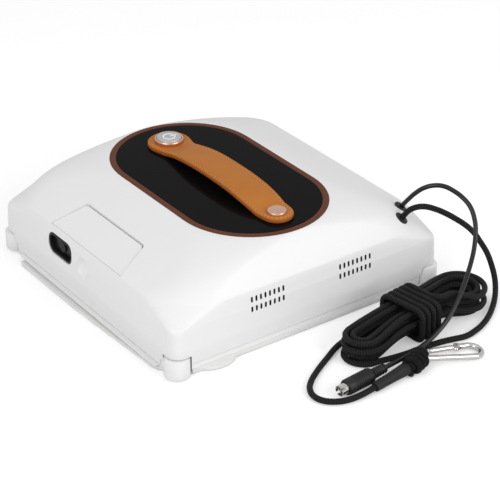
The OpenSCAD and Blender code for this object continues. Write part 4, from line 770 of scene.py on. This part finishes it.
# %% Outline of the strap
neck_angle = math.pi - math.asin(NECK / R_BUTTON)
join_y = BUTTON_Y + R_BUTTON * math.cos(neck_angle)
side = [(R_BUTTON * math.sin(a), BUTTON_Y + R_BUTTON * math.cos(a))
        for a in (neck_angle * i / 22 for i in range(1, 22))]
side += [(strap_half(y), y) for y in (lerp(join_y, RIVET_Y, i / 60) for i in range(60))]
side += [(R_RIVET * math.sin(a), RIVET_Y + R_RIVET * math.cos(a))
         for a in (math.pi / 2 + math.pi / 2 * i / 16 for i in range(16))]
sharp_outline = [(0, BUTTON_Y + R_BUTTON)] + side + [(0, RIVET_Y - R_RIVET)]
sharp_outline += [(-x, y) for x, y in reversed(side)]


def with_neighbours(outline):
    return zip(outline[-1:] + outline[:-1], outline, outline[1:] + outline[:1])


def relax(outline, rounds):
    """Softens the corners where the neck meets the round ends."""
    for _ in range(rounds):
        outline = [((x0 + 2 * x + x1) / 4, (y0 + 2 * y + y1) / 4)
                   for (x0, y0), (x, y), (x1, y1) in with_neighbours(outline)]
    return outline


def inward(outline, d):
    made = []
    for (x0, y0), (x, y), (x1, y1) in with_neighbours(outline):
        run = math.hypot(x1 - x0, y1 - y0)
        made.append((x + (y1 - y0) / run * d, y - (x1 - x0) / run * d))
    return made


strap_outline = relax(sharp_outline, 16)


def strap_ring(d, height, k=0.0, padding=0.0):
    made = []
    for x, y in inward(strap_outline, d):
        yy = lerp(y, min(max(y, RIVET_Y), BUTTON_Y), k)
        made.append(Vector((x * (1 - k), yy, STRAP_Z + lift(yy) + height + padding * pad(yy))))
    return made


# %% Strap
T, EDGE_DARK = LEATHER_T, 0.6
levels = [(3.0, 0, 1.0, 0), (3.0, 0, 0.5, 0), (1.0, 0, 0, 0), (0.3, 0.15, 0, 0), (0, 0.6, 0, 0),
          (-0.08, 1.5, 0, 0), (0, T - 0.6, 0, 0), (0.15, T - 0.22, 0, 0), (0.5, T - 0.04, 0, 0),
          (1.5, T - 0.02, 0, 0), (2.0, T - 0.2, 0, 0), (2.4, T - 0.5, 0, 0), (2.8, T - 0.2, 0, 0.1),
          (3.4, T - 0.02, 0, 0.35), (3.8, T, 0.15, 0.5), (3.8, T, 0.35, 0.62), (3.8, T, 0.6, 0.7),
          (3.8, T, 0.8, 0.72), (3.8, T, 1.0, 0.72)]
strap = bmesh.new()
raised(strap, [strap_ring(*level) for level in levels])
bmesh.ops.remove_doubles(strap, verts=strap.verts, dist=WELD)
edge_mark = strap.verts.layers.float.new("edge")
for v in strap.verts:
    near = min((Vector(p) - v.co.xy).length for p in strap_outline)
    v[edge_mark] = max(0.0, 1 - near / EDGE_DARK)
strap = carve(strap, strap_holes(70, 90))

# %% Leather
leather = Paint("tan leather", (0.46, 0.155, 0.022), 0.55, specular_ior_level=0.25)
pores = leather.noise(1100.0, 4.0)
tone = leather.noise(45.0, 3.0)
edge = leather.add("Attribute", {"attribute_name": "edge"}, {}, 2)
hide = leather.mix(tone, (0.43, 0.140, 0.019), (0.50, 0.180, 0.028))
leather.feed("Base Color", leather.mix(edge * 0.75, hide, (0.36, 0.085, 0.010)))
leather.feed("Roughness", 0.46 + pores * 0.2)
leather.bump(pores + tone * 0.5, 0.35, 0.0004)
finish("leather_strap", strap, "case", leather.material, ["handle_strap"], 40)

# %% [markdown]
# The stitches are small capsules laid along the channel at even steps. The bezel and the rivet cover the
# channel at the two ends, so none is laid there.

# %% Stitches
STITCH_STEP, CHANNEL, BEZEL_ROOM, RIVET_ROOM = 3.3, 2.4, 12, 7.6
STITCH_SHAPE = Matrix.Diagonal((1.7, 0.62, 0.62, 1)) @ QUARTER_Y
line = inward(strap_outline, CHANNEL)
thread = bmesh.new()
walked, due, count = 0.0, 0.0, 0
for (x0, y0), (x1, y1) in zip(line, line[1:] + line[:1]):
    run = math.hypot(x1 - x0, y1 - y0)
    while due < walked + run:
        t = (due - walked) / run
        x, y = lerp(x0, x1, t), lerp(y0, y1, t)
        due += STITCH_STEP
        if math.hypot(x, y - BUTTON_Y) < BEZEL_ROOM or math.hypot(x, y - RIVET_Y) < RIVET_ROOM:
            continue
        rise = (lift(y + 0.5) - lift(y - 0.5)) * (y1 - y0) / run
        spot = Matrix.Translation((x, y, STRAP_Z + lift(y) + T - 0.2))
        turn = turned_to((x1 - x0, y1 - y0, rise * run), (1, 0, 0))
        bmesh.ops.create_uvsphere(thread, u_segments=8, v_segments=5, radius=0.5,
                                  matrix=spot @ turn @ STITCH_SHAPE)
        count += 1
    walked += run
linen = speckle("stitching thread", ((0.58, 0.30, 0.10), (0.72, 0.42, 0.18)), (0.7, 0), 2500.0, 2.0)
finish("strap_stitches", thread, "case", linen, angle=80)
print("stitches", count)

# %% [markdown]
# ## Spray window
# A glossy black oval stands in the front wall with the spray nozzle at its middle. Its edge is rounded and
# its middle is sunk, so it is a loft of ovals from the back to the front and down into the recess.

# %% Spray window
NOZZLE_R = 4.06
GLOSS = speckle("black gloss", ((0.0065, 0.0065, 0.0068), grey(0.0095)), (0.2, 0.12), 25.0, 2.0,
                specular_ior_level=0.12)
ovals = [(1.2, -112.5), (1.2, -114.8), (0, -114.8), (0, -117.8), (-0.2, -118.25), (-0.7, -118.4),
         (-1.5, -118.4), (-2.0, -118.2), (-2.3, -117.6), (-2.5, -115.4)]
window = loft([[Vector((x, WINDOW_Y + b, WINDOW_Z + a)) for a, b in window_outline(d, 12)] for d, x in ovals])
face_on = Matrix.Translation((0, WINDOW_Y, WINDOW_Z)) @ Matrix.Rotation(math.radians(-90), 4, "Z") @ QUARTER_X
window = carve(window, [moved(cylinder(NOZZLE_R, -130, -100, steps=40), face_on)])
finish("spray_window", window, "case", GLOSS, ["nozzle_bezel"], 35)

# %% [markdown]
# ## Corner rollers and cloth
# Soft white guide wheels stand in the notches of the four corners, and a microfibre cloth runs round the
# base. The wheels are turned. The cloth is a band with a flap on one side, a thin front edge that bulges out,
# and a rim. It is remeshed and smoothed, which rounds its edges as the cloth's pile does.

# %% Rollers
white_rubber = speckle("white roller", (grey(0.78), grey(0.84)), (0.5, 0), 220.0,
                       bump=(0.15, 0.0003), specular_ior_level=0.35)
wheel = [(4.1, 1), (8.0, 1), (8.9, 1.35), (9.25, 2.2), (9.25, 14.5), (8.9, 15.3), (8.0, 15.6), (2.05, 15.6),
         (2.05, 4.5), (4.1, 4.5), (4.1, 1)]
for name, spot in zip(("front_left", "front_right", "rear_left", "rear_right"), spots):
    wheel_bm = lathe(wheel, (*spot, 0), steps=72)
    finish("wheel_" + name, wheel_bm, "roller_" + name, white_rubber, ["corner_roller_" + name],
           40)

# %% Cloth
CLOTH_T, CLOTH_HALF, CLOTH_BAND, CLOTH_R, RIM_IN = 3.2, 117.4, 30.8, 9, 113
FLAP_X, FLAP_R, FLAP_OUT, FLAP_HALF, FLAP_Y = -80, 22.2, 5.4, 17, -106.6
FRONT_T, RIM_TOP, ROLLER_ROOM, PILE = 2.0, 4.38, 10.6, 0.8
front_edge = [(-110, -100), (-119.2, -98.5), (-120.8, -92), (-122.6, -55), (-124.6, -10), (-125.2, 20),
              (-125.2, 60), (-124.8, 84), (-123.4, 88), (-110, 89)]


def square(half, r, z0, z1):
    return prism(corners(half, half, r), z0, z1)


band = carve(square(CLOTH_HALF - 0.2, CLOTH_R, 0, CLOTH_T), [prism(front_edge, 0, FRONT_T)], "UNION")
rim = carve(square(CLOTH_HALF - 0.2, CLOTH_R, CLOTH_T - 1, RIM_TOP),
            [square(RIM_IN, 6, 0, 6), block((-120, -98, 0), (-112.8, 98, 6))])
band = carve(band, [rim], "UNION")
flap = carve(cylinder(FLAP_R, 0, CLOTH_T, (FLAP_X, -CLOTH_HALF - FLAP_OUT + FLAP_R), 96),
             [block((FLAP_X - FLAP_HALF, -140, -1), (FLAP_X + FLAP_HALF, FLAP_Y, 5))], "INTERSECT")
band = carve(band, [flap], "UNION")
band = carve(band, [square(CLOTH_HALF - CLOTH_BAND, 6, -1, 5),
                    *[cylinder(ROLLER_ROOM, -1, 5, spot) for spot in spots]])
hard = as_object(band)
hard.modifiers.new("pile", "REMESH").voxel_size = PILE
soften = hard.modifiers.new("round", "SMOOTH")
soften.factor, soften.iterations = 0.6, 5
soft = bmesh.new()
soft.from_mesh(evaluated(hard).to_mesh())
bpy.data.objects.remove(hard)
for v in soft.verts:
    v.co.z = min(max(v.co.z, 0.0), RIM_TOP)
microfibre = speckle("microfibre cloth", ((0.66, 0.66, 0.65), (0.84, 0.84, 0.83)), (0.95, 0), 800.0, 4.0,
                     (0.7, 0.0008), sheen_weight=0.3, specular_ior_level=0.1)
cloth = finish("microfibre_pad", soft, "case", microfibre, ["cleaning_cloth"], 60, tidy=False)

# %% [markdown]
# ## On the cable: the plug
# The lead ends in a straight barrel plug: a ringed strain relief, a body with fine grip ribs, and a bare
# metal shell with slots. Each is a profile turned about the lead's last direction.

# %% Plug
PLUG, PLUG_AXIS = (6, -194.8, 6), (-42.5, -4.4, 0)
BLACKS = (0.008, 0.008, 0.009), (0.018, 0.018, 0.019)
SOFT_BLACK = speckle("soft black", BLACKS, (0.38, 0.2), 900.0, specular_ior_level=0.35)
relief = [(0, 0), (2.6, 0)]
for i in range(5):
    z, r = 0.5 + i * 2.6, 3.4 + 0.1 * i
    relief += [(r - 0.5, z), (r, z + 0.3), (r + 0.15, z + 0.8), (r, z + 1.3), (r - 0.5, z + 1.6), (2.9, z + 1.9)]
body = [(3.4, 13.3), (4.4, 13.6), (5.3, 14.4), (5.75, 15.6)]
for i in range(9):
    z = 16.6 + 1.8 * i
    body += [(5.85, z - 0.55), (5.85, z - 0.15), (5.5, z), (5.5, z + 0.75), (5.85, z + 0.9)]
body += [(5.85, 33), (5.75, 37.0), (5.4, 37.8), (4.2, 38), (0, 38)]
plug_bm = lathe(relief + body, PLUG, PLUG_AXIS, 56)
plug = finish("barrel_plug", plug_bm, "case", SOFT_BLACK, ["dc_plug"], 35)

# %% [markdown]
# ## On the rope: sleeve, knot and snap hook
# A dark sleeve grips the rope's end, the rope is then coiled in a bulky knot, and the knot's loop holds a
# pear-shaped snap hook of polished wire with a sprung gate.

# %% Sleeve
dark = speckle("shrunk sleeve", BLACKS, (0.6, 0), 260.0, 4.0, (0.5, 0.0006), specular_ior_level=0.3)
sleeve_from, sleeve_to = Vector((-13, -207.3, 4)), Vector((18.5, -203.6, 5.4))
sleeve_l = (sleeve_to - sleeve_from).length
sleeve_line = [(0, 0), (2.3, 0), (3.2, 0.05), (3.6, 0.5), (3.75, 6), (3.8, 12), (4.1, 20), (4.5, 27),
               (4.8, sleeve_l - 0.8), (4.5, sleeve_l - 0.1), (0, sleeve_l)]
sleeve_bm = lathe(sleeve_line, sleeve_from, sleeve_to - sleeve_from, 48)
sleeve = finish("rope_end_sleeve", sleeve_bm, "case", dark, ["rope_sleeve"], 35)

# %% Knot
COIL_R, COIL_PITCH, COILS, LOOP_X, LOOP_R, CORE_R = 5.2, 4.7, 3, -4.2, 4.35, 3.4
knot_turn = Matrix.Translation((25.5, -204.2, 7.6)) @ turned_to((7, 2.6, 0))
eye_at, eye_turn, eye_pitch = Vector((38.5, -199.9, 6.6)), math.radians(-17), math.radians(5.93)
hook_place = Matrix.Translation(eye_at) @ Matrix.Rotation(eye_turn, 4, "Z") @ Matrix.Rotation(eye_pitch, 4, "Y")
coil_line = [(COIL_R * math.cos(a), COIL_R * math.sin(a), COIL_PITCH * (a / math.tau - COILS / 2))
             for a in (math.tau * COILS * i / 48 for i in range(49))]
loop_line = [(LOOP_X + LOOP_R * math.cos(a), 0, LOOP_R * math.sin(a))
             for a in (math.tau * i / 16 + 0.3 for i in range(17))]
knot_bm = bmesh.new()
for points, turn in ((coil_line, knot_turn), (loop_line, hook_place)):
    piece, _ = cord_curve("knot_cord", [turn @ Vector(p) for p in points], ROPE_D, braid, 6, 1.5)
    knot_bm.from_mesh(bpy.data.meshes.new_from_object(evaluated(piece)))
    bpy.data.objects.remove(piece)
bmesh.ops.scale(knot_bm, vec=(1 / MM,) * 3, verts=knot_bm.verts)
knot_bm = joined([knot_bm, moved(cylinder(CORE_R, -7, 7, steps=24), knot_turn)])
knot = finish("rope_end_knot", knot_bm, "case", braid, ["rope_knot"], 60)

# %% Wire of the snap hook
SMALL_R, BIG_R, REACH, NOSE, HINGE_BACK, WIRE_R = 4.2, 7.5, 35.1, 5.5, 7.5, 2.1
flank = math.asin((BIG_R - SMALL_R) / REACH)
along_flank = Vector((math.cos(flank), math.sin(flank), 0))


def tube(points, radii, sides):
    side = (points[1] - points[0]).orthogonal().normalized()
    rings = []
    for i, (p, r) in enumerate(zip(points, radii)):
        along = (points[min(i + 1, len(points) - 1)] - points[max(i - 1, 0)]).normalized()
        side = (side - along * side.dot(along)).normalized()
        other = along.cross(side)
        rings.append([p + side * r * math.cos(a) + other * r * math.sin(a)
                      for a in (math.tau * j / sides for j in range(sides))])
    return loft(rings)


def arc_points(x, r, first, last, n):
    turns = [lerp(first, last, i / n) for i in range(n + 1)]
    return [Vector((x + r * math.cos(a), r * math.sin(a), 0)) for a in turns]


small = arc_points(0, SMALL_R, math.pi / 2 + flank, math.pi * 1.5 - flank, 20)
big = arc_points(REACH, BIG_R, -math.pi / 2 - flank, math.pi / 2 + flank, 28)
wire = [small[0] + along_flank * d for d in (NOSE, NOSE - 0.6, NOSE / 2)] + small
wire += [small[-1].lerp(big[0], i / 6) for i in range(1, 6)] + big
wire += [big[-1] - along_flank * d for d in (3.5, HINGE_BACK)]
radii = [WIRE_R * 0.8] + [WIRE_R] * (len(wire) - 1)

# %% Snap hook and gate
BARREL_R, PIVOT_R, TONGUE_T = 2.6, 1.75, 1.2
GATE_L = REACH * math.cos(flank) - HINGE_BACK - NOSE - 0.3
gate_place = hook_place @ Matrix.Translation(wire[-1]) @ Matrix.Rotation(math.pi + flank, 4, "Z")
chrome = Paint("polished steel", (0.70, 0.69, 0.67), 0.1, 1.0)
CHROME = chrome.feed("Roughness", 0.07 + chrome.noise(160.0, 4.0) * 0.12).material
barrel = moved(cylinder(BARREL_R, -1.7, 1.7, steps=32), gate_place)
cleft = moved(block((-2.9, -4.2, -0.7), (5.8, 4.2, 0.7)), gate_place)
ring_bm = carve(carve(moved(tube(wire, radii, 20), hook_place), [barrel], "UNION"), [cleft])
hook = finish("snap_ring", ring_bm, "case", CHROME, ["snap_hook"], 35)
rod = lathe([(0, 2.9), (1.5, 2.9), (1.8, 3.3), (1.8, GATE_L - 0.4), (1.5, GATE_L), (0, GATE_L)],
            axis=(1, 0, 0), steps=24)
tongue = block((0, -1.4, -TONGUE_T / 2), (3.4, 1.4, TONGUE_T / 2))
gate = joined([rod, tongue, cylinder(PIVOT_R, -TONGUE_T / 2, TONGUE_T / 2, steps=24)])
latch = finish("snap_latch", moved(gate, gate_place), "hook_gate", CHROME, ["snap_gate"], 35)

# %% [markdown]
# ## Paint for the solids that stay
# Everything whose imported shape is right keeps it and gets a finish: the tray, the panel, the tracks, the
# suction fan and the pieces inside. The tray's front edge shows below the cover as a thin lip.

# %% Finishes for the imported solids
panel = speckle("glossy panel", (grey(0.0035), grey(0.0045)), (0.07, 0.06), 14.0, specular_ior_level=0.03)
symbol = plain("symbol white", grey(0.88), grey(0.80), 0.4)
steel = plain("plain steel", (0.45, 0.45, 0.46), (0.55, 0.55, 0.56), 0.3, metallic=1.0, scale=500.0)
rubber = plain("belt rubber", (0.018, 0.018, 0.019), (0.032, 0.032, 0.034), 0.75, 0.0004)
plastic = plain("dark plastic", (0.03, 0.03, 0.032), (0.045, 0.045, 0.048), 0.5, 0.0002)
clear = plain("clear tank", (0.72, 0.78, 0.80), (0.80, 0.85, 0.86), 0.2, transmission_weight=0.5, ior=1.45)
silicone = plain("silicone", (0.65, 0.68, 0.70), (0.75, 0.78, 0.80), 0.4)
glass = plain("sensor glass", (0.03, 0.006, 0.008), (0.05, 0.01, 0.012), 0.1)
hooks = plain("hook strip", grey(0.55), grey(0.75), 0.8, 0.0006, scale=1500.0)
motor = plain("motor case", (0.35, 0.35, 0.36), (0.45, 0.45, 0.46), 0.35, metallic=1.0)
wrap = plain("battery wrap", (0.02, 0.07, 0.25), (0.03, 0.10, 0.32), 0.3, scale=60.0)
board = plain("circuit board", (0.01, 0.07, 0.03), (0.02, 0.12, 0.05), 0.35, scale=90.0)
tray_white = plain("base tray white", grey(0.80), grey(0.84), 0.45, 0.0002)

# %% Front lip
LIP_LOW, LIP_TOP = CLOTH_T + 0.05, 4.35
lip_outline = [(-113, -99), (-120.4, -97.5), (-121.2, -92), (-121.2, 90), (-120.4, 93.5), (-113, 95)]
finish("front_lip", prism(lip_outline, LIP_LOW, LIP_TOP), "case", tray_white)

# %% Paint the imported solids
paints = {
    "top_panel": panel, "button_symbol": symbol, "deck_nuts": steel, "lid_hinge_pin": steel,
    "water_tank": clear, "tank_plug": SOFT_BLACK, "spray_pump": plastic, "spray_tube": silicone,
    "spray_nozzle": GLOSS, "cable_grommet": SOFT_BLACK, "rope_grommet": SOFT_BLACK, "base_tray": tray_white,
    "base_screws": steel, "edge_sensor_windows": glass, "hook_strips": hooks, "roller_screws": steel,
    "idler_axles": steel, "inlet_grille": plastic, "fan_housing": plastic, "fan_impeller": plastic,
    "fan_shaft": steel, "fan_motor": motor, "battery_pack": wrap, "control_board": board, "plug_shell": CHROME,
    "gate_pin": steel}
for side in ("left", "right"):
    paints |= {"track_belt_" + side: rubber, "track_frame_" + side: plastic, "drive_pulley_" + side: plastic,
               "drive_shaft_" + side: steel, "idler_pulley_" + side: plastic, "gearmotor_" + side: motor}
for name, material in paints.items():
    mesh = nodes[name].data
    mesh.materials.clear()
    mesh.materials.append(material)
print("painted solids", len(paints))

# %% [markdown]
# ## Floor, light and background
# The robot stands on a wide pale floor under soft studio light: one large lamp above, one at the left and one
# in front. Seen straight from the camera the floor is nearly white, but it still takes the soft shadow.

# %% Floor
FLOOR_TONE, FLOOR_GLOW, FLOOR_HALF, FLOOR_Z = 0.82, 0.30, 6, -0.0003
floor_bm = bmesh.new()
bmesh.ops.create_grid(floor_bm, x_segments=1, y_segments=1, size=FLOOR_HALF)
bmesh.ops.translate(floor_bm, vec=(0, 0, FLOOR_Z), verts=floor_bm.verts)
floor_mesh = bpy.data.meshes.new("floor")
floor_bm.to_mesh(floor_mesh)
floor = in_scene("floor", floor_mesh)
ground = Paint("floor", grey(FLOOR_TONE), 1.0)
ground.tree.nodes.remove(ground.shader)
diffuse = ground.add("BsdfDiffuse", {}, {"Color": (*grey(FLOOR_TONE), 1)}, 0)
glow = ground.add("Emission", {}, {"Strength": FLOOR_GLOW}, 0)
both = ground.add("AddShader", {}, {0: diffuse, 1: glow}, 0)
seen = ground.add("LightPath", {}, {}, "Is Camera Ray")
surface = ground.add("MixShader", {}, {0: seen, 1: diffuse, 2: both}, 0)
ground.put(ground.tree.nodes["Material Output"].inputs["Surface"], surface)
floor_mesh.materials.append(ground.material)


# %% Lamps and world
def lamp(name, spot, aim_at, size, power):
    data = bpy.data.lights.new(name, "AREA")
    data.shape, data.size, data.energy = "DISK", size, power
    look = turned_to(Vector(aim_at) - Vector(spot), (0, 0, -1))
    in_scene(name, data).matrix_world = Matrix.Translation(spot) @ look


lamp("top", (-0.2, 0.1, 1.6), (0, 0, 0), 1.6, 1.5)
lamp("left", (-1.3, -0.5, 0.9), (0, 0, 0.03), 1.0, 7)
lamp("front", (0.5, -1.4, 0.8), (0, 0, 0.03), 1.0, 9.5)
world = bpy.data.worlds.new("studio")
bpy.context.scene.world = world
world.use_nodes = True
sky = world.node_tree.nodes["Background"].inputs
sky["Color"].default_value, sky["Strength"].default_value = (1, 1, 1, 1), 0.64
bpy.context.scene.view_settings.view_transform = "Standard"
